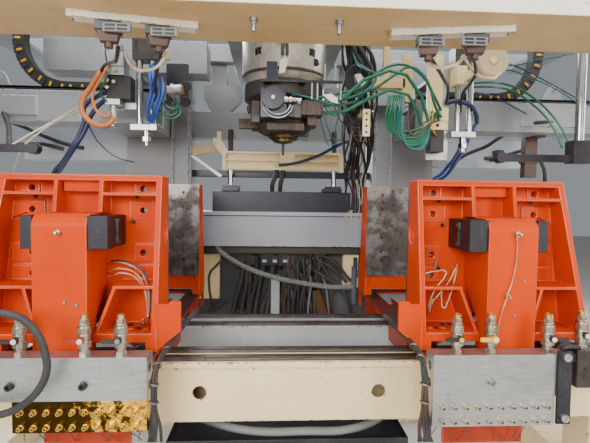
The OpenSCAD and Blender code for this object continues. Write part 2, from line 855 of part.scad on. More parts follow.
// A platen's outline: its outer wall leans out towards the foot
module platen_outline(inset = 0) {
  polygon([
    [station_in + inset, platen_z + inset], [station_out + wall_lean - inset, platen_z + inset],
    [station_out - inset, platen_top - inset], [station_in + inset, platen_top - inset]
  ]);
}

// The walls and ribs of a platen as seen from its front
module platen_ribs() {
  rib_1 = station_in + 212;
  rib_2 = station_in + 375;
  difference() {
    platen_outline();
    difference() {
      platen_outline(side_wall_t);
      translate([station_in, platen_top - side_wall_t - 1]) square([platen_w, 10]);
    }
  }
  translate([station_in, platen_z]) square([platen_w + wall_lean - 4, 33]);
  for (x = [rib_1, rib_2])
    translate([x, arm_top + running]) square([rib_t, platen_top - arm_top - running]);
  translate([station_in, platen_z + 524]) square([212, 12]);
  translate([rib_2, platen_z + 524]) square([platen_w - 375 + 4, 12]);
  translate([station_in, platen_z + 188]) square([165, 12]);
  translate([rib_2 + 40, platen_z + 188]) square([platen_w - 415 + 40, 12]);
  arm_side = arm_w / 2 + 1;
  for (way = [-1, 1])
    polygon([
      [arm_x + way * (arm_side + 60), platen_z + 194], [arm_x + way * (arm_side + 73), platen_z + 194],
      [arm_x + way * (arm_side + 13), platen_z + 20], [arm_x + way * arm_side, platen_z + 20]
    ]);
}

module fixing_holes(y, length, r) {
  for (dx = [-fixing_half_x, fixing_half_x], z = hole_z)
    bar_y([station_x + 5 + dx, y, platen_z + z], r, length);
}

module platen() {
  color("orangered") {
    difference() {
      union() {
        plate_xz(-web_back, -web_y) platen_outline();
        intersection() {
          plate_yz(station_in - 1, station_out + wall_lean + 1) polygon([
            [-web_back + 1, platen_z], [-rib_y_foot, platen_z], [-rib_y_foot, platen_z + 33],
            [-rib_y_top, platen_top], [-web_back + 1, platen_top]
          ]);
          plate_xz(-rib_y_foot - 1, -web_back + 2) platen_ribs();
        }
        platen_pads();
        slab([station_in, -rib_y_foot, guide_top + running],
          [station_in + shoe_w, -web_y, platen_z]);
        slab([station_out - shoe_w, -rib_y_foot, guide_top + running],
          [station_out, -web_y, platen_z]);
      }
      fixing_holes(-web_back - 60, 100, fixing_hole_r);
      slab([arm_x - arm_w / 2 - running, -rib_y_foot - 1, platen_z - 1],
        [arm_x + arm_w / 2 + running, -arm_front + 84 + running, platen_z + 34]);
      bar_x([station_in - 1, -web_back - 14, platen_z + 387], 34, side_wall_t + 2);
      arch = clamp_barrel_r + 10;
      slab([arm_x - arch, -rib_y_foot - 1, platen_z - 1],
        [arm_x + arch, -web_y + 1, clamp_axis_z + arch]);
      for (x = [60, 110, 150])
        bar_z([station_in + x, -rib_y_foot + 60, platen_z - 1], 8, 40);
    }
  }
}

// Raised pads round the fixing holes, the middle pocket's boss and the side windows
module platen_pads() {
  y0 = -web_back - pad_t;
  y1 = -web_back + 1;
  wide = [false, true, false, false];
  for (i = [0 : 3]) {
    z = platen_z + hole_z[i];
    reach = wide[i] ? 50 : 30;
    slab([station_in + 10, y0, z - 34], [station_x + 5 - fixing_half_x + reach, y1, z + 34]);
    slab([station_x + 5 + fixing_half_x - reach, y0, z - 34], [station_out - 4, y1, z + 34]);
  }
  slab([station_in + 233, -web_back - 44, platen_top - 62], [station_in + 368, y1, platen_top - 12]);
}

module mould_plate() {
  color("slategray") difference() {
    slab([station_in + 2, -web_y, platen_z + 80], [station_out, -mould_y, platen_top - 2]);
    fixing_holes(-web_y - 1, mould_plate_t + 2, fixing_hole_r - 3);
    for (dx = [-198, 198]) {
      bar_y([station_x + dx, -web_y - 1, platen_z + 508], 12, mould_plate_t + 2);
      bar_y([station_x + dx, -mould_y - 3, platen_z + 508], 31, 4);
      bar_y([station_x + dx, -web_y - 1, platen_z + 172], 11, mould_plate_t + 2);
    }
    for (dx = [-250, -90, 90, 250], z = [130, 330, 570])
      bar_y([station_x + dx, -mould_y - 10, platen_z + z], 6, 11);
  }
}

module arm_outline(inset = 0) {
  r = arm_bend_r - inset;
  front = -arm_front + inset;
  top = arm_top - inset;
  back = -web_back;
  foot = guide_top + running + inset;
  knee = -arm_front + 84;
  translate([front + r, top - r]) intersection() {
    circle(r = r);
    translate([-r, 0]) square(r);
  }
  polygon([
    [front, foot], [front, top - r], [front + r, top - r], [front + r, top], [back, top],
    [back, arm_top - 260], [knee, arm_top - 380], [knee, foot]
  ]);
}

// The corner outside a bend of radius r, over a strip as wide as an arm
module bend_corner(r, half) {
  difference() {
    slab([arm_x - half, -arm_front - 1, arm_top - arm_bend_r],
      [arm_x + half, -arm_front + arm_bend_r, arm_top + 1]);
    bar_x([arm_x - half - 1, -arm_front + arm_bend_r, arm_top - arm_bend_r], r, 2 * half + 2);
  }
}

module clamp_arm() {
  x0 = arm_x - arm_w / 2;
  x1 = arm_x + arm_w / 2;
  color("orangered") difference() {
    plate_yz(x0, x1) arm_outline();
    difference() {
      plate_yz(x0 + arm_skin + 4, x1 - arm_skin - 4) arm_outline(arm_skin);
      slab([x0, -arm_front, clamp_axis_z - 40], [x1, -arm_front + 84, clamp_axis_z + 40]);
    }
    difference() {
      slab([x0 - 1, -arm_y - 0.5, block_z - 0.5], [x1 + 1, -web_back + 1, block_z + block_h + 0.5]);
      bend_corner(arm_bend_r - arm_skin, arm_w / 2 + 2);
    }
    bar_y([arm_x, -arm_front + 30, clamp_axis_z], clamp_rod_r, 60);
  }
  piston_y = -cylinder_half + 21;
  color("silver") {
    bar_y([arm_x, -arm_front + 30, clamp_axis_z], clamp_rod_r, arm_front - 30 + piston_y);
    bar_y([arm_x, piston_y, clamp_axis_z], clamp_barrel_r - 9.06, 15);
  }
}

module crosshead() {
  x0 = block_x - block_w / 2;
  z = block_z + block_h / 2;
  color("darkslategray") difference() {
    slab([x0, -arm_y, block_z], [x0 + block_w, -web_back, block_z + block_h]);
    bend_corner(arm_bend_r - arm_skin - 0.5, arm_w / 2 + 0.5);
    bar_x([x0 - 1, -web_back - 96, z], cross_pin_r, block_w + 2);
    slab([x0 - 1, -web_back - 108, z - 44], [x0 + 5, -web_back - 84, z + 44]);
  }
  color("gray") bar_x([x0 + 5, -web_back - 96, z], cross_pin_r, block_w - 8);
  color("dimgray") difference() {
    slab([x0 - 8, -web_back - 108, z - 44], [x0 + 5, -web_back - 84, z + 44]);
    for (dz = [-34, 34])
      bar_x([x0 - 9, -web_back - 96, z + dz], 5, 6);
  }
}

module manifold(width, screws) {
  color("silver") difference() {
    slab([manifold_in, -manifold_front, strip_z + strip_h],
      [manifold_in + width, -manifold_front + manifold_d, manifold_top]);
    for (z = [38, 98])
      bar_x([manifold_in - 1, -manifold_front + 38, strip_z + strip_h + z], 16, width + 2);
  }
  color("gray") for (x = screws)
    cap_screw_y([manifold_in + x, -manifold_front - 16, strip_z + strip_h + 52], 8, 16, 0.1);
}

// The right manifold ends in a bar that ties it to its strip and carries a junction box
module manifold_end() {
  x = manifold_in + strip_w;
  y = -manifold_front;
  color("dimgray") {
    slab([x + 4, y - 10, strip_z + 8], [x + 52, y, manifold_top + 14]);
    slab([x + 52, y + 36, 945], [x + 96, y + 56, 975]);
    slab([x + 96, y + 26, 857], [x + 260, y + 126, 989]);
  }
  color("gray") for (z = [strip_z + 32, manifold_top - 4])
    cap_screw_y([x + 28, y - 24, z], 9, 14, 0.1);
}

module right_manifold() {
  manifold(strip_w + 52, [201]);
  manifold_end();
}

module nipple_strip() {
  depth = 50;
  color("silver") slab([manifold_in, -manifold_front, strip_z],
    [manifold_in + strip_w, -manifold_front + depth, strip_z + strip_h]);
  color("goldenrod") for (i = [0 : nipple_count - 1], z = [23, 72]) {
    x = manifold_in + (strip_w - (nipple_count - 1) * nipple_pitch) / 2 + i * nipple_pitch;
    translate([x, -manifold_front, strip_z + z]) rotate([90, 0, 0]) {
      cylinder(r = 11, h = 10, $fn = 6);
      difference() {
        cylinder(r = 7, h = 24);
        translate([0, 0, 6]) cylinder(r = 4, h = 19);
      }
    }
  }
}

module valve_body() {
  color("silver") {
    cylinder(r = 20, h = 12, $fn = 6);
    translate([0, 0, 12]) cylinder(r = 16, h = 12);
    translate([0, 0, 24]) cylinder(r = 23, h = 20, $fn = 8);
    translate([0, 0, 44]) cylinder(r = 20, h = 26);
    translate([0, 0, 70]) cylinder(r = 23, h = 18, $fn = 8);
    translate([0, 0, 88]) cylinder(r = 19, h = 14);
    translate([0, 0, 102]) cylinder(r = 17, h = 16, $fn = 6);
    translate([0, 0, 118]) cylinder(r = 13, h = 14);
    translate([0, -17, 52]) rotate([90, 0, 0]) cylinder(r = 7, h = 11);
  }
}

module valve_bodies() {
  for (x = valve_x)
    translate([manifold_in + x, -manifold_front + 38, manifold_top]) valve_body();
}

// The valve on the right junction box
module fourth_valve() {
  translate([manifold_in + strip_w + 128, -manifold_front + 58, 989]) valve_body();
}

module right_valve_bodies() {
  valve_bodies();
  fourth_valve();
}

// A ball valve's lever: a hub on the valve's stem and a flat handle, outwards for 1 and inwards for -1
module valve_lever(n, way, colour) {
  translate([manifold_in + valve_x[n - 1], -manifold_front + 10, manifold_top + 52])
    color(colour) {
      rotate([90, 0, 0]) cylinder(r = 12, h = 10);
      translate([way > 0 ? 0 : -52, -8, -7]) cube([52, 5, 14]);
    }
}

// A water hose that leaves the left manifold's outer end and comes back to it lower down
module left_hose_loop() {
  y = -manifold_front;
  out = y - 64;
  x = -manifold_in - manifold_w + 40;
  z = manifold_top;
  color("black") hose([
    [x, y, z - 34], [x, y - 20, z - 34], [x - 8, y - 46, z - 22], [x - 20, out, z + 30],
    [x + 4, out, z + 96], [x + 60, out, z + 144], [-895, out, z + 163], [-857, out, z + 156],
    [-822, out, z + 139], [-784, out, z + 95], [-763, out, z + 35], [-759, out, z - 14],
    [-778, out, z - 66], [-822, out, z - 115], [-890, out, z - 150], [-960, out + 10, z - 158],
    [x - 4, y - 44, z - 148], [x, y - 20, z - 118], [x, y, z - 118]
  ], 11.5);
}

base_frame();
front_rail_beam();
middle_rail_beam();
linear_rails();
rear_columns();
rear_cross_beams();
stretcher_frame();
head_support_frame();
top_front_beam();
plug_connectors();
upper_beams();
cable_chains();
extruder_platform();
side_lift_columns();
on_head_axis() head_drum();
on_head_axis() head_body();
on_head_axis() head_die();
on_head_axis() die_core();
on_head_axis() head_actuator();
on_head_axis() extruder_barrel();
on_head_axis() extruder_screw();
on_head_axis() extruder_drive();
on_head_axis() hopper();
hydraulic_panel();
hydraulic_hoses();
head_hoses();
blow_unit_frames();
blow_slide(-station_x);  // left_blow_slide
blow_slide(station_x);  // right_blow_slide
station(left = true) carriage();  // left_carriage
station() carriage();  // right_carriage
station(left = true) platen();  // left_front_platen
station() platen();  // right_front_platen
station(left = true, rear = true) platen();  // left_rear_platen
station(rear = true) platen();  // right_rear_platen
station(left = true) mould_plate();  // left_front_mould_plate
station() mould_plate();  // right_front_mould_plate
station(left = true, rear = true) mould_plate();  // left_rear_mould_plate
station(rear = true) mould_plate();  // right_rear_mould_plate
station(left = true) clamp_arm();  // left_front_arm
station() clamp_arm();  // right_front_arm
station(left = true, rear = true) clamp_arm();  // left_rear_arm
station(rear = true) clamp_arm();  // right_rear_arm
station(left = true) crosshead();  // left_front_crosshead
station() crosshead();  // right_front_crosshead
station(left = true, rear = true) crosshead();  // left_rear_crosshead
station(rear = true) crosshead();  // right_rear_crosshead
station(left = true) manifold(manifold_w, [201, 430]);  // left_manifold
right_manifold();
station(left = true) nipple_strip();  // left_nipple_strip
station() nipple_strip();  // right_nipple_strip
station(left = true) valve_bodies();  // left_valve_bodies
right_valve_bodies();
station(left = true) valve_lever(1, 1, "black");  // left_valve_lever_1
station(left = true) valve_lever(2, 1, "red");  // left_valve_lever_2
station(left = true) valve_lever(3, 1, "black");  // left_valve_lever_3
station() valve_lever(1, -1, "black");  // right_valve_lever_1
station() valve_lever(2, -1, "gold");  // right_valve_lever_2
station() valve_lever(3, 1, "black");  // right_valve_lever_3
left_hose_loop();
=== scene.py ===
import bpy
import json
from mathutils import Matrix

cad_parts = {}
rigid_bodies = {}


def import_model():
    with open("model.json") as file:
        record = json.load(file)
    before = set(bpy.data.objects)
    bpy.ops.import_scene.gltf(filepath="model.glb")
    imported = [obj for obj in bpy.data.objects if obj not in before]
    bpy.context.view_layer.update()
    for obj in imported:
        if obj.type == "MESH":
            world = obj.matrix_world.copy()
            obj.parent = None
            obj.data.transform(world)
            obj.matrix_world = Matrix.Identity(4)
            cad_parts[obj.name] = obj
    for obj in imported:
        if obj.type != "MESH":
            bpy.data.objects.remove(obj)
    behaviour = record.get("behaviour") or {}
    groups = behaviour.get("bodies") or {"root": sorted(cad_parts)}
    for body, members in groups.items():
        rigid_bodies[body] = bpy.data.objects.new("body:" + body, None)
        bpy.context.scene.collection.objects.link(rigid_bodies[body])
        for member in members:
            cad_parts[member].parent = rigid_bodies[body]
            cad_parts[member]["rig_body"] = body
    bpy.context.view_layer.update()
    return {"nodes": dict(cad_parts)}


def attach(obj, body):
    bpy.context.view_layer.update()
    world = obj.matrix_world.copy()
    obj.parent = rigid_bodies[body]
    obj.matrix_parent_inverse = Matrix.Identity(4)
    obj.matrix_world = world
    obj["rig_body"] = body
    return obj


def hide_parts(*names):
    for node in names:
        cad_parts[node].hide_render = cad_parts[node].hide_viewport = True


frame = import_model()

import json
import math
import random

import bmesh
import bpy
from mathutils import Matrix, Vector

# A twin-station blow moulding machine. Numbers are millimetres in the machine's own frame
# until at() makes them metres.

MM = 0.001
UP = (0, 0, 1)
FORWARD = (0, -1, 0)
FRAME = "frame"
SIDES = {"left": -1, "right": 1}

STATION_X = 770  # middle of each clamp station
PLATEN_FOOT = 985  # Z of the carriage's deck, on which the platens stand
PLATEN_FACE = -424  # Y of the front platens' pads
ARM_FRONT = -624.5  # Y of the front arms' faces
MANIFOLD_IN = 475  # X of the manifolds' inner ends
VALVES = (94, 213, 418)  # of the ball valves, from the manifold's inner end
HEAD_X = -21  # the parison head's axis
RAIL_BEAM_TOP = 919  # Z of the rail beams
TRAY = 612  # Z inside the drip tray
APRON = 202  # Y of the apron under the upper beams
PANEL = 932  # Y of the valve panel under the central beam
PLUGS = -612  # Y of the plug connectors' cable exits

draw = random.Random(7)


def at(x, y, z):
    return Vector((x, y, z)) * MM


# Camera, with the height, turn and lens that the picture was taken with

EYE = (-82.5, -2171.6, 1500.0)
FOCAL_PIXELS = 445
PICTURE_W, PICTURE_H = 590, 443
yaw, pitch, roll = (math.radians(a) for a in (3.27868, -2.69808, 0.775536))
ahead = Vector((math.sin(yaw) * math.cos(pitch), math.cos(yaw) * math.cos(pitch), math.sin(pitch)))
level = ahead.cross(Vector(UP)).normalized()
rightward = level * math.cos(roll) + level.cross(ahead) * math.sin(roll)
upward = level.cross(ahead) * math.cos(roll) - level * math.sin(roll)


def seen(x, y, depth):
    """The point, in millimetres, that the picture shows at x, y on the plane Y = depth."""
    line = ahead + (rightward * (x - PICTURE_W / 2) - upward * (y - PICTURE_H / 2)) / FOCAL_PIXELS
    return tuple(Vector(EYE) + line * ((depth - EYE[1]) / line.y))


lens = bpy.data.cameras.new("camera")
lens.sensor_width = 36
lens.lens = 36 * FOCAL_PIXELS / PICTURE_W
lens.clip_start = 0.02
camera = bpy.data.objects.new("camera", lens)
camera.matrix_world = Matrix(
    [(rightward[i], upward[i], -ahead[i], EYE[i] * MM) for i in range(3)] + [(0, 0, 0, 1)]
)
bpy.context.scene.collection.objects.link(camera)
bpy.context.scene.camera = camera


# Shader maths


class Link:
    """A socket of a node tree. Arithmetic on it adds Math nodes."""

    def __init__(self, nodes, socket):
        self.nodes = nodes
        self.socket = socket

    def joined(self, operation, *values):
        return self.nodes.add("ShaderNodeMath", {"operation": operation}, *values)

    def __add__(self, other):
        return self.joined("ADD", self, other)

    def __sub__(self, other):
        return self.joined("SUBTRACT", self, other)

    def __rsub__(self, other):
        return self.joined("SUBTRACT", other, self)

    def __mul__(self, other):
        return self.joined("MULTIPLY", self, other)

    def __gt__(self, other):
        return self.joined("GREATER_THAN", self, other)

    def __lt__(self, other):
        return self.joined("LESS_THAN", self, other)

    __radd__ = __add__
    __rmul__ = __mul__

    def largest(self, other):
        return self.joined("MAXIMUM", self, other)

    def least(self, other):
        return self.joined("MINIMUM", self, other)

    def ramp(self, low, high):
        """0 below low, 1 above high, eased between them."""
        eased = {"interpolation_type": "SMOOTHSTEP"}
        return self.nodes.add("ShaderNodeMapRange", eased, self, low, high, 0.0, 1.0)


def light(colour):
    """Linear light, from a colour that is that already or has screen values of up to 255."""
    if max(colour) <= 2:
        return colour
    return tuple(c / 255 / 12.92 if c < 10 else ((c / 255 + 0.055) / 1.055) ** 2.4 for c in colour)


def titled(name):
    """The name that Blender gives an input: base_color is Base Color."""
    return name.replace("_", " ").title().replace("Ior", "IOR")


class Nodes:
    """A node tree to which add() and mix() add nodes."""

    def __init__(self, tree):
        self.tree = tree

    def set(self, socket, value):
        if isinstance(value, Link):
            self.tree.links.new(value.socket, socket)
        elif value is not None:
            socket.default_value = value

    def add(self, kind, settings, *values, output=0, **named):
        """A node, its inputs in order or by name. None leaves an input alone."""
        node = self.tree.nodes.new(kind)
        for setting, value in settings.items():
            setattr(node, setting, value)
        for index, value in enumerate(values):
            self.set(node.inputs[index], value)
        for name, value in named.items():
            self.set(node.inputs[titled(name)], value)
        return Link(self, node.outputs[output])

    def mix(self, factor, first, second):
        """The first colour where the factor is 0, the second where it is 1."""
        node = self.tree.nodes.new("ShaderNodeMix")
        node.data_type = "RGBA"
        self.set(node.inputs[0], factor)
        for index, colour in ((6, first), (7, second)):
            self.set(node.inputs[index],
                     colour if isinstance(colour, Link) else (*light(colour), 1))
        return Link(self, node.outputs[2])


class Finish(Nodes):
    """A node material. Constants go straight on the shader."""

    def __init__(self, name, metallic=0.0, **constants):
        self.material = bpy.data.materials.new(name)
        self.material.use_nodes = True
        super().__init__(self.material.node_tree)
        self.shader = self.tree.nodes["Principled BSDF"]
        self.places = {}
        for name, value in {"metallic": metallic, **constants}.items():
            self.shader.inputs[titled(name)].default_value = value

    def place(self, stretch=(1, 1, 1)):
        """Object coordinates, stretched along the object's axes."""
        if stretch not in self.places:
            here = self.add("ShaderNodeTexCoord", {}, output=3)
            if stretch != (1, 1, 1):
                here = self.add("ShaderNodeMapping", {}, here, None, None, stretch)
            self.places[stretch] = here
        return self.places[stretch]

    def noise(self, scale, detail=3.0, roughness=0.55, stretch=(1, 1, 1), warp=0.0):
        return self.add(
            "ShaderNodeTexNoise", {}, self.place(stretch), scale=scale, detail=detail,
            roughness=roughness, distortion=warp,
        )

    def cells(self, scale):
        return self.add("ShaderNodeTexVoronoi", {"feature": "F1"}, self.place(), scale=scale)

    def facing(self, axis):
        """How far the surface faces one way: 1 is straight along the axis."""
        normal = self.add("ShaderNodeNewGeometry", {}, output=1)
        return self.add("ShaderNodeSeparateXYZ", {}, normal, output="XYZ".index(axis))

    def along(self, axis):
        return self.add("ShaderNodeSeparateXYZ", {}, self.place(), output="XYZ".index(axis))

    def bump(self, height, strength, distance):
        return self.add("ShaderNodeBump", {}, strength=strength, distance=distance, height=height)

    def out(self, **links):
        for name, link in links.items():
            self.tree.links.new(link.socket, self.shader.inputs[titled(name)])
        return self.material


# Finishes


GRIME = (0.055, 0.04, 0.03)


def paint(name, colour, shade, chip, wear, dirt, gloss, grain=0.25, dust=GRIME, shine=0.5):
    """Machine enamel: cloudy tone, runs of grime, greasy smears, chips down to the primer."""
    f = Finish(name, coat_roughness=0.2, specular_ior_level=shine)
    broad = f.noise(2.3, 4.0)
    fine = f.noise(21.0, 5.0, 0.6)
    tone = f.mix((broad * 1.1 - 0.2).ramp(0.1, 0.75), shade, colour)
    runs = f.noise(9.0, 4.0, 0.6, stretch=(4, 4, 0.35)).ramp(0.56, 0.8) * fine.ramp(0.35, 0.65)
    smears = f.noise(5.0, 6.0, 0.62, warp=0.6).ramp(0.58, 0.74)
    upward_dust = f.facing("Z").ramp(0.5, 0.95) * f.noise(14.0, 6.0).ramp(0.3, 0.7)
    grime = (runs * 0.45 + smears * 0.35 + upward_dust * 0.5) * dirt
    tone = f.mix(grime, tone, dust)
    scratches = f.noise(34.0, 2.0, 0.5, stretch=(0.25, 1, 7), warp=0.4) > 0.73 - 0.05 * wear
    nicks = f.cells(55.0).ramp(0.0, 0.6) < 0.02 * wear
    pits = f.noise(48.0, 5.0, 0.7) > 0.72 - 0.12 * wear
    chips = pits.largest(scratches * (fine > 0.56)).largest(nicks)
    bare = chips * f.noise(7.0, 3.0).ramp(0.5 - 0.2 * wear, 0.7 - 0.2 * wear)
    tone = f.mix(bare, tone, chip)
    skin = f.noise(420.0, 2.0) * 0.4 + f.noise(60.0, 4.0) * grain - bare * 0.6
    return f.out(
        base_color=tone,
        roughness=(gloss + fine * 0.16 + grime * 0.35 + bare * 0.25),
        coat_weight=(1 - grime) * (0.4 * shine) * (1 - bare),
        normal=f.bump(skin, 0.22, 0.0006),
    )


def steel(name, colour, shade, stain, gloss, lines, stains, pits, metallic=1.0):
    """Bare metal: fine tool lines along one way, blotches of oil or heat, small pits."""
    f = Finish(name, metallic=metallic)
    brushed = f.noise(260.0, 3.0, 0.6, stretch=lines)
    broad = f.noise(3.1, 5.0, 0.6, warp=0.3)
    spots = f.noise(26.0, 5.0, 0.65)
    tone = f.mix(brushed.ramp(0.25, 0.75), shade, colour)
    blotch = (broad.ramp(0.5, 0.68) * 0.7 + spots.ramp(0.6, 0.72) * 0.6) * stains
    runs = f.noise(11.0, 4.0, 0.6, stretch=(3, 3, 0.3)).ramp(0.58, 0.78) * stains * 0.7
    tone = f.mix((blotch + runs).least(1.0), tone, stain)
    return f.out(
        base_color=tone,
        roughness=gloss + brushed * 0.18 + blotch * 0.3 + spots * 0.06,
        normal=f.bump(brushed * 0.5 - spots.ramp(0.62, 0.7) * pits, 0.18, 0.0005),
    )


def moulded(name, colour, worn, gloss, grain, dirt):
    """Plastic or rubber: fine leather-like grain, dusty and scuffed."""
    f = Finish(name)
    fine = f.noise(grain, 3.0)
    broad = f.noise(7.0, 5.0, 0.6)
    scuffs = f.noise(60.0, 4.0, 0.7, stretch=(1, 1, 3)).ramp(0.58, 0.75) * dirt
    tone = f.mix((broad.ramp(0.35, 0.75) * dirt + scuffs).least(1.0), colour, worn)
    return f.out(
        base_color=tone,
        roughness=gloss + broad * 0.2 + scuffs * 0.2,
        normal=f.bump(fine, 0.15, 0.0004),
    )


def mould_face():
    """Ground steel under old oil: pale above, clouded black and brown further down."""
    f = Finish("oiled_mould_steel", metallic=0.85)
    clouds = f.noise(6.5, 7.0, 0.66, warp=0.25)
    spots = f.noise(38.0, 5.0, 0.7)
    speck = f.noise(150.0, 3.0, 0.6)
    low = 1 - f.along("Z").ramp(1.47, 1.56)
    clouded = (clouds + low * 0.12).ramp(0.5, 0.66)
    stain = (clouded * 0.85 + spots.ramp(0.56, 0.68) * 0.35).least(1.0)
    steel_tone = f.mix(speck.ramp(0.3, 0.7), (122, 117, 117), (156, 152, 152))
    oil_tone = f.mix(f.noise(17.0, 4.0).ramp(0.4, 0.6), (62, 56, 56), (96, 86, 82))
    tone = f.mix(stain, steel_tone, oil_tone)
    return f.out(
        base_color=tone, roughness=0.36 + stain * 0.22 + speck * 0.12,
        normal=f.bump(speck * 0.4 + spots * 0.5, 0.2, 0.0005),
    )


def oily_strip():
    """Bright metal under brown oil, thin towards the machine's middle, thick outwards."""
    f = Finish("oil_run_strip", metallic=1.0, roughness=0.18)
    patches = f.noise(30.0, 6.0, 0.72, warp=0.5)
    thin = f.along("X").ramp(-0.86, -0.52)
    oil = (patches + (1 - thin) * 0.32 - 0.06).ramp(0.44, 0.56)
    gold = f.mix(f.noise(70.0, 4.0).ramp(0.35, 0.65), (196, 140, 34), (248, 206, 96))
    tone = f.mix(oil, gold, f.mix(patches, (40, 28, 8), (74, 56, 22)))
    return f.out(base_color=tone, roughness=oil * 0.12 + 0.16, normal=f.bump(patches, 0.35, 0.0012))


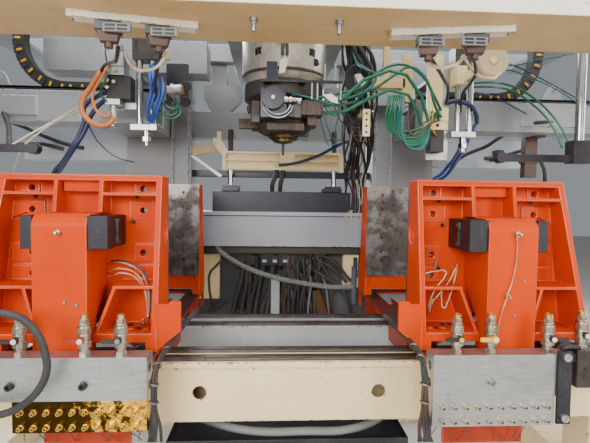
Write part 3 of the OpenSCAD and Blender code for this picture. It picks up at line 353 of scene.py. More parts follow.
ORANGE = (0.72, 0.062, 0.0)
ORANGE_SHADE = (0.6, 0.045, 0.0)
PRIMER = (120, 70, 50)
finishes = {
    "orange": paint("orange_enamel", ORANGE, ORANGE_SHADE, PRIMER, 0.25, 0.35, 0.4, 0.1, shine=0.1),
    # The edge finishes go on the rounded edges: more wear, and a lighter colour that is a painted
    # highlight.
    "orange_worn_highlit_edge": paint("orange_enamel_worn_highlit_edge", (0.8, 0.11, 0.02), ORANGE, (150, 110, 95), 1.3, 0.3,
                         0.3),
    "orange_low": paint("orange_enamel_greasy", (0.5, 0.036, 0.0), (0.3, 0.018, 0.0), PRIMER, 0.6,
                        1.3, 0.35, 0.4, shine=0.3),
    "cream": paint("cream_enamel", (246, 226, 178), (234, 210, 156), (120, 95, 70), 0.5, 0.45, 0.4,
                   0.2, (150, 125, 95)),
    "cream_worn_highlit_edge": paint("cream_enamel_worn_highlit_edge", (248, 230, 186), (234, 208, 158), (110, 85, 62), 1.3,
                        0.7, 0.42, 0.2, (140, 115, 85)),
    "white": paint("white_enamel", (250, 246, 234), (240, 234, 218), (140, 115, 85), 0.35, 0.35,
                   0.38, 0.2, (170, 150, 120)),
    # tan: a darker cream; on the top beam's underside it is painted shade.
    "tan": paint("tan_underside", (222, 192, 138), (204, 172, 116), (120, 95, 65), 0.4, 0.5, 0.45,
                 0.2, (120, 95, 65)),
    "grey": paint("grey_enamel", (180, 185, 190), (160, 166, 172), (95, 92, 88), 0.5, 0.5, 0.38,
                  0.2, (95, 90, 82)),
    "column_grey": paint("column_enamel", (150, 154, 158), (132, 135, 138), (95, 92, 88), 0.5, 0.6,
                         0.4, 0.2, (90, 84, 76)),
    "grey_worn_highlit_edge": paint("grey_enamel_worn_highlit_edge", (196, 199, 200), (170, 172, 174), (90, 85, 80), 1.3, 0.8,
                       0.4, 0.2, (90, 84, 76)),
    "steel_blue": paint("blue_grey_enamel", (165, 170, 180), (150, 155, 166), (90, 88, 86), 0.5,
                        0.55, 0.38, 0.2, (90, 86, 80)),
    "navy": paint("navy_enamel", (42, 48, 66), (28, 32, 46), (110, 110, 115), 0.5, 0.4, 0.3),
    # The shadowed panel enamel is a panel colour darkened as painted shade.
    "dark_panel": paint("shadowed_panel_enamel", (74, 76, 82), (56, 56, 60), (100, 92, 84), 0.5,
                        0.9, 0.5),
    "black_steel": steel("black_oxide_steel", (70, 70, 76), (38, 38, 44), (105, 100, 98), 0.38,
                         (1, 1, 1), 0.4, 0.4, 0.75),
    "mould_steel": mould_face(),
    "rail_steel": steel("greasy_rail_steel", (120, 114, 112), (82, 74, 70), (60, 45, 36), 0.28,
                        (0.04, 1, 1), 0.9, 0.3),
    "chrome": steel("hard_chrome", (186, 188, 194), (156, 158, 166), (120, 112, 105), 0.07,
                    (1, 1, 0.05), 0.25, 0.1),
    "aluminium": steel("milled_aluminium", (200, 202, 202), (172, 173, 172), (120, 112, 100), 0.3,
                       (0.05, 1, 1), 0.45, 0.3),
    "oily_aluminium": oily_strip(),
    "head_steel": steel("heat_stained_steel", (224, 218, 206), (186, 178, 166), (90, 76, 64), 0.3,
                        (1, 1, 0.08), 0.7, 0.5),
    "dark_steel": steel("dark_worn_steel", (104, 100, 96), (70, 66, 63), (52, 42, 36), 0.4,
                        (1, 1, 1), 0.7, 0.5, 0.9),
    "rusty": steel("heat_rusted_steel", (104, 94, 88), (70, 60, 54), (52, 36, 28), 0.5, (1, 1, 0.2),
                   0.9, 1.0, 0.7),
    "bronze": steel("oxidised_bronze", (112, 90, 60), (76, 58, 40), (50, 38, 28), 0.35, (1, 1, 1),
                    0.7, 0.5),
    "brass": steel("brass_nipple", (240, 202, 104), (214, 168, 70), (110, 84, 48), 0.22, (1, 1, 1),
                   0.5, 0.2),
    "nickel": steel("nickel_plated_brass", (206, 198, 182), (168, 154, 132), (96, 82, 62), 0.2,
                    (1, 1, 1), 0.6, 0.2),
    "bolt": steel("zinc_screw", (176, 176, 178), (140, 140, 144), (70, 62, 56), 0.3, (1, 1, 1), 0.5,
                  0.3),
    "black_bolt": steel("black_screw", (72, 72, 76), (46, 46, 50), (110, 104, 98), 0.36, (1, 1, 1),
                        0.3, 0.3, 0.8),
    "rubber": moulded("black_rubber", (36, 36, 38), (84, 82, 80), 0.5, 320.0, 0.45),
    "nylon": moulded("black_nylon", (30, 31, 34), (70, 70, 72), 0.42, 260.0, 0.3),
    "grey_plastic": moulded("grey_connector", (66, 72, 84), (110, 112, 118), 0.4, 240.0, 0.35),
    "green_hose": moulded("green_hose", (8, 94, 62), (40, 122, 92), 0.28, 300.0, 0.2),
    "teal_hose": moulded("teal_hose", (12, 92, 84), (50, 122, 112), 0.28, 300.0, 0.2),
    "blue_dark": moulded("dark_blue_hose", (28, 40, 76), (70, 84, 110), 0.34, 300.0, 0.25),
    "grey_hose": moulded("grey_corrugated_hose", (120, 124, 122), (84, 84, 80), 0.4, 200.0, 0.4),
    "blue_hose": moulded("blue_hose", (28, 66, 142), (70, 100, 150), 0.3, 300.0, 0.2),
    "orange_hose": moulded("orange_hose", (196, 112, 48), (150, 96, 60), 0.35, 300.0, 0.2),
    "cream_cable": moulded("cream_cable", (206, 196, 172), (160, 146, 120), 0.45, 300.0, 0.35),
    "grey_cable": moulded("grey_cable", (128, 130, 132), (90, 88, 86), 0.45, 300.0, 0.35),
    "yellow": moulded("yellow_plastic", (236, 176, 24), (190, 140, 40), 0.4, 240.0, 0.3),
    "red": paint("red_enamel", (190, 40, 34), (150, 26, 24), (190, 180, 170), 0.8, 0.4, 0.35),
    "beige": moulded("beige_roll", (214, 196, 156), (176, 156, 118), 0.5, 120.0, 0.3),
    "brown": moulded("brown_cable", (70, 46, 38), (120, 88, 70), 0.4, 260.0, 0.4),
    "tape": steel("foil_tape", (190, 184, 180), (130, 120, 116), (70, 58, 52), 0.3, (1, 1, 1), 0.8,
                  0.4),
    "paper": moulded("paper_tag", (228, 224, 212), (190, 184, 168), 0.75, 90.0, 0.4),
}


def clear_tube():
    """Milky clear tube with a warm cast."""
    f = Finish("clear_tube", transmission_weight=0.55, ior=1.4, alpha=1.0)
    tone = f.mix(f.noise(18.0, 3.0).ramp(0.4, 0.7), (232, 214, 190), (196, 164, 130))
    return f.out(base_color=tone, roughness=f.noise(40.0) * 0.2 + 0.12)


finishes["clear"] = clear_tube()

# Making pieces


def only(piece):
    """Leaves one object selected and active."""
    for other in bpy.context.selected_objects:
        other.select_set(False)
    piece.select_set(True)
    bpy.context.view_layer.objects.active = piece


def new_object(name, mesh):
    piece = bpy.data.objects.new(name, mesh)
    bpy.context.scene.collection.objects.link(piece)
    return piece


def edit(piece, *steps):
    """Runs edit-mode steps on the whole of a piece."""
    only(piece)
    bpy.ops.object.mode_set(mode="EDIT")
    bpy.ops.mesh.select_all(action="SELECT")
    for step in steps:
        step()
    bpy.ops.object.mode_set(mode="OBJECT")


def give(piece, *names):
    piece.data.materials.clear()
    for name in names:
        piece.data.materials.append(finishes[name])


def rounded(piece, width, edge_slot=0):
    """Rounds the sharp edges, which take the material in a slot, and smooths the rest."""
    only(piece)
    bevel = piece.modifiers.new("edges", "BEVEL")
    bevel.width = width * MM
    bevel.segments = 2
    bevel.limit_method = "ANGLE"
    bevel.angle_limit = math.radians(30)
    bevel.use_clamp_overlap = False
    bevel.miter_outer = "MITER_SHARP"
    bevel.material = edge_slot
    bpy.ops.object.modifier_apply(modifier=bevel.name)
    bpy.ops.object.shade_smooth_by_angle(angle=math.radians(38))
    flat = piece.modifiers.new("flat_faces", "WEIGHTED_NORMAL")
    flat.keep_sharp = True
    bpy.ops.object.modifier_apply(modifier=flat.name)


def settle(piece):
    """Puts the object at the origin, unturned and unscaled, with its place in its mesh."""
    only(piece)
    bpy.ops.object.transform_apply(location=True, rotation=True, scale=True)


def done(piece, body, finish):
    """Finishes a piece and ties it to the CAD body with which it moves."""
    settle(piece)
    give(piece, finish)
    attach(piece, body)
    return piece


parts = {}


def dressed(node, width, finish, edge=None, cut=False):
    """A copy of a CAD node with merged seams and rounded edges, which stands for the node.

    A casting is cut into triangles, so that its bevels close."""
    source = frame["nodes"][node]
    piece = new_object(node + "_finished", source.data.copy())
    edit(
        piece,
        lambda: bpy.ops.mesh.remove_doubles(threshold=0.00002),
        lambda: bpy.ops.mesh.dissolve_limited(angle_limit=math.radians(0.6)),
        lambda: cut and bpy.ops.mesh.quads_convert_to_tris(ngon_method="BEAUTY"),
    )
    give(piece, finish, edge or finish)
    for face in piece.data.polygons:
        face.material_index = 0
    rounded(piece, width, 1)
    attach(piece, source["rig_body"])
    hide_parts(node)
    parts[node] = piece
    return piece


def coat(node, finish):
    """A CAD node whose shape is right gets a better finish."""
    data = frame["nodes"][node].data
    for index in range(len(data.materials)):
        data.materials[index] = finishes[finish]


def block(name, low, high, width):
    """A block from corner to corner with rounded edges."""
    middle = [(a + b) / 2 * MM for a, b in zip(low, high)]
    sizes = [abs(b - a) for a, b in zip(low, high)]
    bpy.ops.mesh.primitive_cube_add(size=1, location=middle, scale=[a * MM for a in sizes])
    piece = bpy.context.object
    piece.name = piece.data.name = name
    settle(piece)
    rounded(piece, min(width, 0.45 * min(sizes)))
    return piece


def plate(name, outline, push, width):
    """A flat outline, points in millimetres, pushed along a vector into a plate."""
    mesh = bpy.data.meshes.new(name)
    count = len(outline)
    sides = [(i, (i + 1) % count) for i in range(count)]
    mesh.from_pydata([at(*point) for point in outline], sides, [])
    piece = new_object(name, mesh)
    edit(
        piece,
        bpy.ops.mesh.edge_face_add,
        lambda: bpy.ops.mesh.extrude_region_move(TRANSFORM_OT_translate={"value": at(*push)}),
        lambda: bpy.ops.mesh.select_all(action="SELECT"),
        lambda: bpy.ops.mesh.normals_make_consistent(inside=False),
    )
    if width:
        rounded(piece, width)
    return piece


def placing(spot, axis):
    """The matrix that turns Z to an axis and moves the origin to a spot in millimetres."""
    turn = Vector(UP).rotation_difference(Vector(axis).normalized())
    return Matrix.Translation(at(*spot)) @ turn.to_matrix().to_4x4()


def turned(name, profile, spot=(0, 0, 0), axis=UP, sides=32):
    """A shape turned about an axis from a profile of (radius, height) pairs, spun in edit mode."""
    mesh = bpy.data.meshes.new(name)
    steps = [(i, i + 1) for i in range(len(profile) - 1)]
    mesh.from_pydata([(r * MM, 0, z * MM) for r, z in profile], steps, [])
    piece = new_object(name, mesh)
    edit(
        piece,
        lambda: bpy.ops.mesh.spin(steps=sides, angle=math.tau, center=(0, 0, 0), axis=UP),
        lambda: bpy.ops.mesh.select_all(action="SELECT"),
        lambda: bpy.ops.mesh.remove_doubles(threshold=0.000005),
        lambda: bpy.ops.mesh.normals_make_consistent(inside=False),
    )
    piece.data.transform(placing(spot, axis))
    only(piece)
    bpy.ops.object.shade_smooth_by_angle(angle=math.radians(30))
    return piece


def prism(name, sides, radius, low, high, spot=(0, 0, 0), axis=UP, width=0.8):
    """A bar with a many-sided section, such as a nut, its edges rounded."""
    bpy.ops.mesh.primitive_cylinder_add(
        vertices=sides, radius=radius * MM, depth=(high - low) * MM,
        location=(0, 0, (high + low) / 2 * MM),
    )
    piece = bpy.context.object
    piece.name = piece.data.name = name
    settle(piece)
    rounded(piece, width)
    piece.data.transform(placing(spot, axis))
    return piece


def joined(name, pieces):
    """One object out of many."""
    only(pieces[0])
    for piece in pieces:
        piece.select_set(True)
    if len(pieces) > 1:
        bpy.ops.object.join()
    pieces[0].name = pieces[0].data.name = name
    return pieces[0]


def repeated(name, master, places):
    """Copies of a master, each with its own mesh, at places (spot, or spot and axis), joined."""
    copies = []
    for place in places:
        spot, axis = place if len(place) == 2 else (place, UP)
        copy = new_object(name, master.data.copy())
        copy.data.transform(placing(spot, axis))
        copies.append(copy)
    bpy.data.objects.remove(master)
    return joined(name, copies)


def hoses(name, routes, radius, finish, body, sides=3):
    """Hoses of one radius, each on a smooth curve through its points in millimetres."""
    curve = bpy.data.curves.new(name, "CURVE")
    curve.dimensions = "3D"
    curve.bevel_depth = radius * MM
    curve.bevel_resolution = sides
    curve.resolution_u = 5
    curve.use_fill_caps = True
    for route in routes:
        spline = curve.splines.new("BEZIER")
        spline.bezier_points.add(len(route) - 1)
        for knot, place in zip(spline.bezier_points, route):
            knot.co = at(*place)
            knot.handle_left_type = knot.handle_right_type = "AUTO"
    piece = new_object(name, curve)
    only(piece)
    bpy.ops.object.convert(target="MESH")
    piece = bpy.context.object
    bpy.ops.object.shade_smooth_by_angle(angle=math.radians(50))
    return done(piece, body, finish)


def slabs(name, finish, *boxes):
    """Blocks fixed to the frame, each (low corner, high corner, edge radius), as one piece."""
    done(joined(name, [block(name, *box) for box in boxes]), FRAME, finish)


def cutout(name, finish, depth, thick, width, *corners):
    """A flat piece fixed to the frame, its outline traced at picture points on Y = depth."""
    piece = plate(name, [seen(x, y, depth) for x, y in corners], (0, thick, 0), width)
    done(piece, FRAME, finish)


def rod(name, radius, length, spot, axis=UP, sides=20):
    """A plain round bar."""
    return turned(name, [(0, 0), (radius, 0), (radius, length), (0, length)], spot, axis, sides)


def socket_screw(name, radius, head):
    """A cap screw: round head with a hexagon socket."""
    piece = turned(name, [(0, 0), (radius, 0), (radius, head * 0.86), (radius * 0.9, head),
                          (0, head)], sides=20)
    bpy.ops.mesh.primitive_cylinder_add(vertices=6, radius=radius * 0.5 * MM, depth=head * MM,
                                        location=(0, 0, head * MM))
    cutter = bpy.context.object
    only(piece)
    cut = piece.modifiers.new("socket", "BOOLEAN")
    cut.object = cutter
    cut.operation = "DIFFERENCE"
    cut.solver = "EXACT"
    bpy.ops.object.modifier_apply(modifier=cut.name)
    bpy.data.objects.remove(cutter)
    bpy.ops.object.shade_smooth_by_angle(angle=math.radians(30))
    return piece


def hexagon_screw(name, radius, head, washer=True):
    """A hexagon head with its washer."""
    parts = [prism(name, 6, radius, 1.5 if washer else 0, head, width=radius * 0.08)]
    if washer:
        rim = radius * 1.2
        parts.append(turned(name + "_washer", [(0, 0), (rim, 0), (rim, 1.5), (0, 1.6)], sides=24))
    return joined(name, parts)


# Floor and lights

bpy.ops.mesh.primitive_plane_add(size=1, location=(0, 3, 0), scale=(1, 1, 1))
floor = bpy.context.object
floor.name = floor.data.name = "floor"
floor.data.transform(Matrix.Diagonal((30, 30, 1, 1)))
ground = Finish("pale_floor", roughness=0.6)
floor.data.materials.append(
    ground.out(base_color=ground.mix(ground.noise(1.2, 4.0), (196, 194, 190), (206, 204, 200)))
)

# The room is bright behind and above the machine, darker and patchy in front of it

sky = bpy.data.worlds.new("studio")
bpy.context.scene.world = sky
sky.use_nodes = True
room = Nodes(sky.node_tree)
way = room.add("ShaderNodeTexCoord", {})
front = room.add("ShaderNodeSeparateXYZ", {}, way, output=1).ramp(0.15, -0.45)
patches = room.add("ShaderNodeTexNoise", {}, way, scale=2.4, detail=1.0)
contrast = room.add("ShaderNodeMapRange", {}, patches, 0.42, 0.62)
shade = room.mix(contrast, (0.05, 0.05, 0.055), (0.62, 0.58, 0.52))
glow = sky.node_tree.nodes["Background"]
room.set(glow.inputs["Strength"], 0.32)
room.set(glow.inputs["Color"], room.mix(front, (0.86, 0.9, 0.95), shade))


def lamp(name, spot, target, size, power, colour):
    """A soft rectangular light at a spot in metres, aimed at a target."""
    light = bpy.data.lights.new(name, "AREA")
    light.shape = "RECTANGLE"
    light.size, light.size_y = size
    light.energy = power
    light.color = colour
    holder = bpy.data.objects.new(name, light)
    bpy.context.scene.collection.objects.link(holder)
    way = Vector(target) - Vector(spot)
    turn = way.to_track_quat("-Z", "Y").to_matrix().to_4x4()
    holder.matrix_world = Matrix.Translation(spot) @ turn


lamp("front_soft", (-1.8, -5.4, 3.0), (0, -0.5, 1.2), (3.6, 2.2), 360, (1, 0.97, 0.93))
lamp("front_right", (3.6, -4.2, 2.4), (0.3, -0.4, 1.1), (1.8, 2.2), 150, (1, 0.96, 0.9))
lamp("back_window", (-2.4, 4.6, 3.4), (0, 0.4, 1.3), (3.5, 2.4), 400, (0.93, 0.97, 1))
lamp("right_window", (5.0, 1.6, 3.0), (0.6, 0.2, 1.4), (2.6, 2.2), 200, (0.93, 0.97, 1))
lamp("roof", (0, -0.6, 4.4), (0, 0.1, 1), (4.2, 3.2), 250, (0.97, 0.98, 1))

# The CAD nodes: castings, plates and beams keep their shapes and get rounded edges

for side in SIDES:
    for half in ("front", "rear"):
        dressed(f"{side}_{half}_platen", 4, "orange", "orange_worn_highlit_edge", cut=True)
        dressed(f"{side}_{half}_arm", 3, "orange", "orange_worn_highlit_edge", cut=True)
        dressed(f"{side}_{half}_crosshead", 1.6, "black_steel", cut=True)
        dressed(f"{side}_{half}_mould_plate", 0.8, "mould_steel")
    dressed(f"{side}_carriage", 2, "orange_low", "orange_worn_highlit_edge", cut=True)
    dressed(f"{side}_manifold", 1.2, "aluminium")
    dressed(f"{side}_blow_slide", 0.8, "chrome")
for width, finish, edge, nodes in (
    (4, "cream", "cream_worn_highlit_edge", "base_frame front_rail_beam"),
    (4, "grey", "grey_worn_highlit_edge", "middle_rail_beam"),
    (4, "column_grey", "grey_worn_highlit_edge", "rear_columns"),
    (4, "steel_blue", "grey_worn_highlit_edge", "rear_cross_beams"),
    (3, "column_grey", "grey_worn_highlit_edge", "head_support_frame upper_beams extruder_platform"),
    (3, "white", "cream_worn_highlit_edge", "top_front_beam"),
    (3, "navy", None, "extruder_drive"),
    (2, "cream", "cream_worn_highlit_edge", "stretcher_frame"),
    (2, "grey_plastic", None, "plug_connectors"),
    # The hydraulic panel is painted dark as shade.
    (1.5, "dark_panel", None, "hydraulic_panel"),
    (1.5, "aluminium", None, "blow_unit_frames"),
    (1.5, "head_steel", None, "extruder_barrel head_drum"),
    (1.5, "rusty", None, "head_body"),
    (1.5, "navy", None, "head_actuator"),
    (1.5, "chrome", None, "side_lift_columns"),
    (0.9, "nickel", None, "left_valve_bodies right_valve_bodies"),
    (0.8, "rail_steel", None, "linear_rails"),
    (0.8, "bronze", None, "head_die"),
    (0.8, "aluminium", None, "right_nipple_strip"),
    (0.8, "oily_aluminium", None, "left_nipple_strip"),
):
    for node in nodes.split():
        dressed(node, width, finish, edge)
for finish, nodes in (
    ("nylon", "cable_chains"),
    ("nylon", "left_valve_lever_1 left_valve_lever_3 right_valve_lever_1 right_valve_lever_3"),
    ("red", "left_valve_lever_2"),
    ("yellow", "right_valve_lever_2"),
    ("black_steel", "die_core"),
    ("dark_steel", "extruder_screw"),
    ("aluminium", "hopper"),
    ("green_hose", "head_hoses"),
):
    for node in nodes.split():
        coat(node, finish)

# Finishes by place: faces of a node that are another piece of the machine


def tint(node, finish, *zones):
    """Gives the faces that lie wholly in a zone, low and high corner in millimetres, a finish."""
    piece = parts[node]
    piece.data.materials.append(finishes[finish])
    index = len(piece.data.materials) - 1
    spots = [vertex.co / MM for vertex in piece.data.vertices]
    for face in piece.data.polygons:
        corners = [spots[i] for i in face.vertices]
        for low, high in zones:
            if all(low[a] - 0.6 <= c[a] <= high[a] + 0.6 for c in corners for a in range(3)):
                face.material_index = index


def both(low, high):
    """A zone and its mirror image left of the machine's middle."""
    return (low, high), ((-high[0], low[1], low[2]), (-low[0], high[1], high[2]))


def there(way, low, high):
    """A zone given for the right station, on the side that way says."""
    return both(low, high)[0 if way > 0 else 1]


tint("upper_beams", "black_steel", *both((690, 205, 2048), (1690, 247, 2080)))
tint("rear_cross_beams", "navy", ((-470, 795, 1422), (470, 915, 1560)),
     ((-615, 895, 1650), (615, 965, 1702)))
tint("rear_cross_beams", "dark_steel", ((-600, 845, 1134), (600, 935, 1191)))
tint("stretcher_frame", "chrome", *both((326, 800, 1596), (366, 860, 1702)))
tint("stretcher_frame", "rusty", *both((326, 800, 1818), (366, 860, 1966)))
tint("stretcher_frame", "navy", *both((270, 790, 1557), (400, 840, 1597)))
tint("blow_unit_frames", "nylon", ((-850, -40, 1960), (-730, 45, 2070)),
     ((690, -40, 1740), (765, 45, 1854)))
tint("blow_unit_frames", "dark_steel", ((-735, -30, 2148), (-605, 30, 2262)),
     ((805, -30, 2148), (935, 30, 2262)))
tint("left_blow_slide", "aluminium", ((-810, -30, 1815), (-540, 30, 1850)))
tint("right_blow_slide", "aluminium", ((730, -30, 1815), (1030, 30, 1850)))
tint("blow_unit_frames", "cream", ((694, -50, 1850), (782, 45, 2300)))
tint("plug_connectors", "brown", ((-820, -780, 1940), (820, -560, 2041)))
tint("head_actuator", "bronze", ((-135, -225, 2005), (240, -140, 2030)))
tint("head_actuator", "rusty", ((20, -200, 1860), (160, -80, 1950)))
tint("head_actuator", "beige", ((-110, -225, 2024), (-50, -185, 2105)))
tint("head_body", "dark_steel", ((-250, -210, 1944), (200, 210, 2041)))
tint("side_lift_columns", "black_steel", *both((980, -160, 1690), (1660, -50, 1805)))
# The panel's middle, painted dark as shade.
tint("hydraulic_panel", "dark_panel", ((-560, 700, 560), (620, 955, 1200)))
tint("hydraulic_panel", "nylon", ((-320, 820, 1020), (210, 932, 1140)))
tint("hydraulic_panel", "grey_plastic", ((465, 760, 800), (600, 810, 1070)))
tint("extruder_drive", "grey", ((-260, 1415, 2400), (260, 1800, 2900)))
tint("middle_rail_beam", "black_steel", ((-470, -540, 555), (470, 100, 715)))
tint("top_front_beam", "bolt", *both((120, -700, 2048), (165, -660, 2097)))
# The top beam's underside gets tan, a painted shade of its white enamel.
tint("top_front_beam", "tan", ((-1755, -800, 2095), (1755, -400, 2100)))
tint("right_manifold", "black_steel", ((903, -740, 745), (954, -725, 1000)),
     ((952, -700, 940), (999, -660, 980)))
tint("right_manifold", "dark_steel", ((995, -705, 855), (1165, -595, 990)))
for side, way in SIDES.items():
    tint(f"{side}_nipple_strip", "nickel" if way > 0 else "brass",
         there(way, (470, -770, 740), (905, -727, 843)))
    tint(f"{side}_nipple_strip", "aluminium" if way > 0 else "oily_aluminium",
         there(way, (470, -727, 730), (905, -726, 850)))
    tint(f"{side}_manifold", "bolt" if way > 0 else "black_bolt",
         there(way, (640, -760, 860), (930, -727, 930)))
    for half, turn in (("front", 1), ("rear", -1)):
        low, high = sorted((turn * -600, turn * -100))
        tint(f"{side}_{half}_arm", "chrome", there(way, (750, low, 960), (842, high, 1040)))
        low, high = sorted((turn * -545, turn * -500))
        tint(f"{side}_{half}_crosshead", "rail_steel",
             there(way, (620, low, 1330), (960, high, 1432)))
    tint(f"{side}_carriage", "rail_steel", there(way, (480, -600, 943), (1060, 600, 951)))
    tint(f"{side}_carriage", "dark_steel", there(way, (480, -600, 908), (1060, 600, 929.5)))
    tint(f"{side}_carriage", "dark_steel", there(way, (740, -300, 950), (850, 300, 1050)))

# Hoses and cables that follow the picture


def traced(knots, depth):
    """A route in millimetres from picture points (x, y) or (x, y, depth), or (X, Y, Z, 1)."""
    return [k[:3] if len(k) > 3 else seen(k[0], k[1], k[2] if len(k) > 2 else depth) for k in knots]


def lines(name, finish, radius, body, depth, *routes, sides=3):
    """Hoses that follow the picture, at one depth where their points give none."""
    return hoses(name, [traced(route, depth) for route in routes], radius, finish, body, sides)


def button(name, finish, body, radius, depth, height, *spots):
    """Small round screw heads on a face at picture points."""
    profile = [(0, -1), (radius, -1), (radius, height * 0.7), (radius * 0.8, height), (0, height)]
    places = [(seen(x, y, depth), FORWARD) for x, y in spots]
    done(repeated(name, turned(name, profile, sides=16), places), body, finish)


def nipple(name, body, spot, axis, size=1.0):
    """A grease nipple: hexagon foot, neck and ball."""
    foot = prism(name, 6, 7.5 * size, 0, 7 * size, width=0.6)
    profile = ((0, 0), (4.5, 0), (4.5, 11), (3.2, 13), (4.4, 16), (3.4, 19), (0, 20))
    neck = turned(name, [(r * size, z * size) for r, z in profile], sides=20)
    piece = joined(name, [foot, neck])
    return done(repeated(name, piece, [(spot, axis)]), body, "nickel")


# Stations

for side, way in SIDES.items():
    body = f"{side}_carriage"
    platen = f"{side}_front_clamp"
    # Lock screws on the platen's pads
    screw = socket_screw(f"{side}_pad_screws", 7, 6)
    spots = [
        ((way * (STATION_X + x), PLATEN_FACE - 8, PLATEN_FOOT + z), FORWARD)
        for x, z in ((-181, 520), (196, 518), (-164, 425), (172, 422), (-176, 252), (180, 258),
                     (-186, 195))
    ]
    done(repeated(f"{side}_pad_screws", screw, spots), platen, "black_bolt")
    # The plate at the foot of the platen's inner wall
    ear = plate(
        f"{side}_platen_ear",
        [(way * x, -577, z) for x, z in ((480, 1124), (440, 1124), (436, 1134), (396, 1134),
                                         (396, 1026), (480, 954))],
        (0, 14, 0), 2,
    )
    done(ear, platen, "orange")
    # Small hexagon screws on the platen's foot
    bolt = hexagon_screw(f"{side}_foot_screws", 8, 7)
    spots = [(way * x, y, 1018) for x, y in ((512, -505), (560, -520), (604, -470), (632, -470),
                                             (940, -520), (1010, -500))]
    done(repeated(f"{side}_foot_screws", bolt, spots), platen, "black_bolt")
    # Thread rings and collars of the valves
    thread = [(13.6 if k % 2 else 12.4, k * 1.2) for k in range(1, 12)]
    wheel = turned(f"{side}_valve_threads",
                   [(12.8, 0), *thread, (12, 14), (8, 14), (8, 4), (0, 4)], sides=24)
    places = [(way * (MANIFOLD_IN + x), -688.5, 1104) for x in VALVES]
    if way > 0:
        places.append((1029, -668.5, 1108))
    done(repeated(f"{side}_valve_threads", wheel, places), body, "brass")
    collar = turned(f"{side}_valve_collars", [(17, 0), (21.4, 0.6), (22, 2), (22, 5), (21.4, 6.4),
                                              (17, 7)], sides=28)
    done(repeated(f"{side}_valve_collars", collar, [
        (x, y, z + dz) for x, y, z in places for dz in (-58, -32, -93)
    ]), body, "nickel")

# What sits on the two arms' fronts
nipple("left_arm_nipple", "left_front_clamp", seen(58.4, 232.8, ARM_FRONT), FORWARD, 1.5)
nipple("right_arm_nipple", "right_front_clamp", seen(517, 234.5, ARM_FRONT), FORWARD, 1.5)
nipple("right_arm_lower_nipple", "right_front_clamp", seen(507, 296.6, ARM_FRONT), FORWARD, 1.2)
button("left_arm_screws", "bolt", "left_front_clamp", 6.5, ARM_FRONT, 5, (64.4, 302.6),
       (76.6, 305.6))
button("right_arm_screws", "bolt", "right_front_clamp", 5, ARM_FRONT, 4, (524, 281.5),
       (514.3, 315.6))
lines("right_arm_grease_tube", "clear", 2.6, "right_front_clamp", ARM_FRONT - 6,
      [(517, 236, ARM_FRONT - 14), (517.5, 243), (517, 256), (514.5, 272), (510.5, 287),
       (507.2, 295, ARM_FRONT - 12)],
      [(507, 298, ARM_FRONT - 12), (504, 306), (500.5, 318), (498, 330), (497, 343)])

# Grease tubes between the arms and the platens' feet
lines("left_grease_tubes", "clear", 2.8, "left_front_clamp", -520,
      [(107.5, 272, -450), (113, 270, -480), (122, 268.6), (133, 271.5), (142, 282), (147, 299),
       (147.8, 318, -505)],
      [(107.5, 277, -440), (114, 275, -480), (124, 273), (134, 276.5), (142, 286), (147, 302),
       (147.6, 318, -505)],
      [(110, 264, -420), (118, 262.5, -480), (130, 265), (140, 271), (147, 285), (149.3, 302),
       (148.6, 318, -505)])
lines("left_brown_grease_tube", "brown", 3.2, "left_front_clamp", -524,
      [(111, 261, -420), (120, 260.5, -480), (133, 264), (143, 271.5), (149, 284), (150.3, 300),
       (149.2, 318, -505)])
lines("right_grease_tubes", "clear", 2.6, "right_front_clamp", -520,
      [(459, 263, -400), (455, 269.5), (450.5, 279), (439, 294), (431.4, 304), (429.4, 310, -500)],
      [(422, 279, -470), (425.7, 273.5), (435, 271.4), (446, 271.8), (445, 276), (436, 288),
       (429.5, 303), (429, 310, -500)],
      [(459, 264.5, -400), (456, 273), (452, 290), (447, 303), (444, 308), (441.5, 300),
       (442.5, 285)],
      [(422, 280, -470), (424, 284, -500), (424.6, 288, -510), (423.5, 293)])
for name, body, spots in (
    ("left_tube_fittings", "left_front_clamp", ((148, 319.5, -505), (143.5, 323, -490))),
    ("right_tube_fittings", "right_front_clamp", ((429.5, 311, -500), (431.6, 303, -500),
                                                  (435.5, 266, -433))),
):
    fitting = joined(name, [
        prism(name, 6, 8, -10, 4, width=0.6),
        turned(name, [(0, 4), (6, 4), (6, 16), (4, 19), (0, 19)], sides=16)])
    done(repeated(name, fitting, [(seen(*spot), (0, -0.2, 1)) for spot in spots]), body, "nickel")

# The levers' caps, and the fourth valve's fixed lever
for side, number, finish in (
    ("left", 2, "paper"), ("left", 3, "paper"), ("left", 1, "bolt"),
    ("right", 1, "yellow"), ("right", 2, "paper"), ("right", 3, "paper"),
):
    x = SIDES[side] * (MANIFOLD_IN + VALVES[number - 1])
    cap = turned(f"{side}_lever_{number}_cap", [(0, -1), (8.6, -1), (8.6, 2), (7.6, 3), (3, 3),
                                                (2.6, 2.2), (0, 2.2)],
                 (x, -726.6, 1037), FORWARD, 24)
    done(cap, f"{side}_valve_lever_{number}", finish)
lever = joined("fourth_valve_lever", [
    turned("fourth_valve_hub", [(0, 0), (12, 0), (12, 9), (11, 10), (0, 10)], (1029, -692, 1041),
           FORWARD, 24),
    block("fourth_valve_handle", (1029, -704, 1034), (1084, -699, 1048), 1.5),
])
done(lever, "right_carriage", "nylon")
done(turned("fourth_lever_cap", [(0, 0), (8.6, 0), (8.6, 2), (7.6, 3), (0, 2.4)],
            (1029, -701.8, 1041), FORWARD, 24),
     "right_carriage", "paper")

# Black hoses behind the right manifold's outer end
lines("right_valve_hoses", "rubber", 8, "right_carriage", -650,
      [(556, 352, -660), (562, 345), (572, 344), (586, 346), (596, 347)],
      [(560, 351, -660), (566, 347, -690), (578, 347.5, -680), (590, 349)])

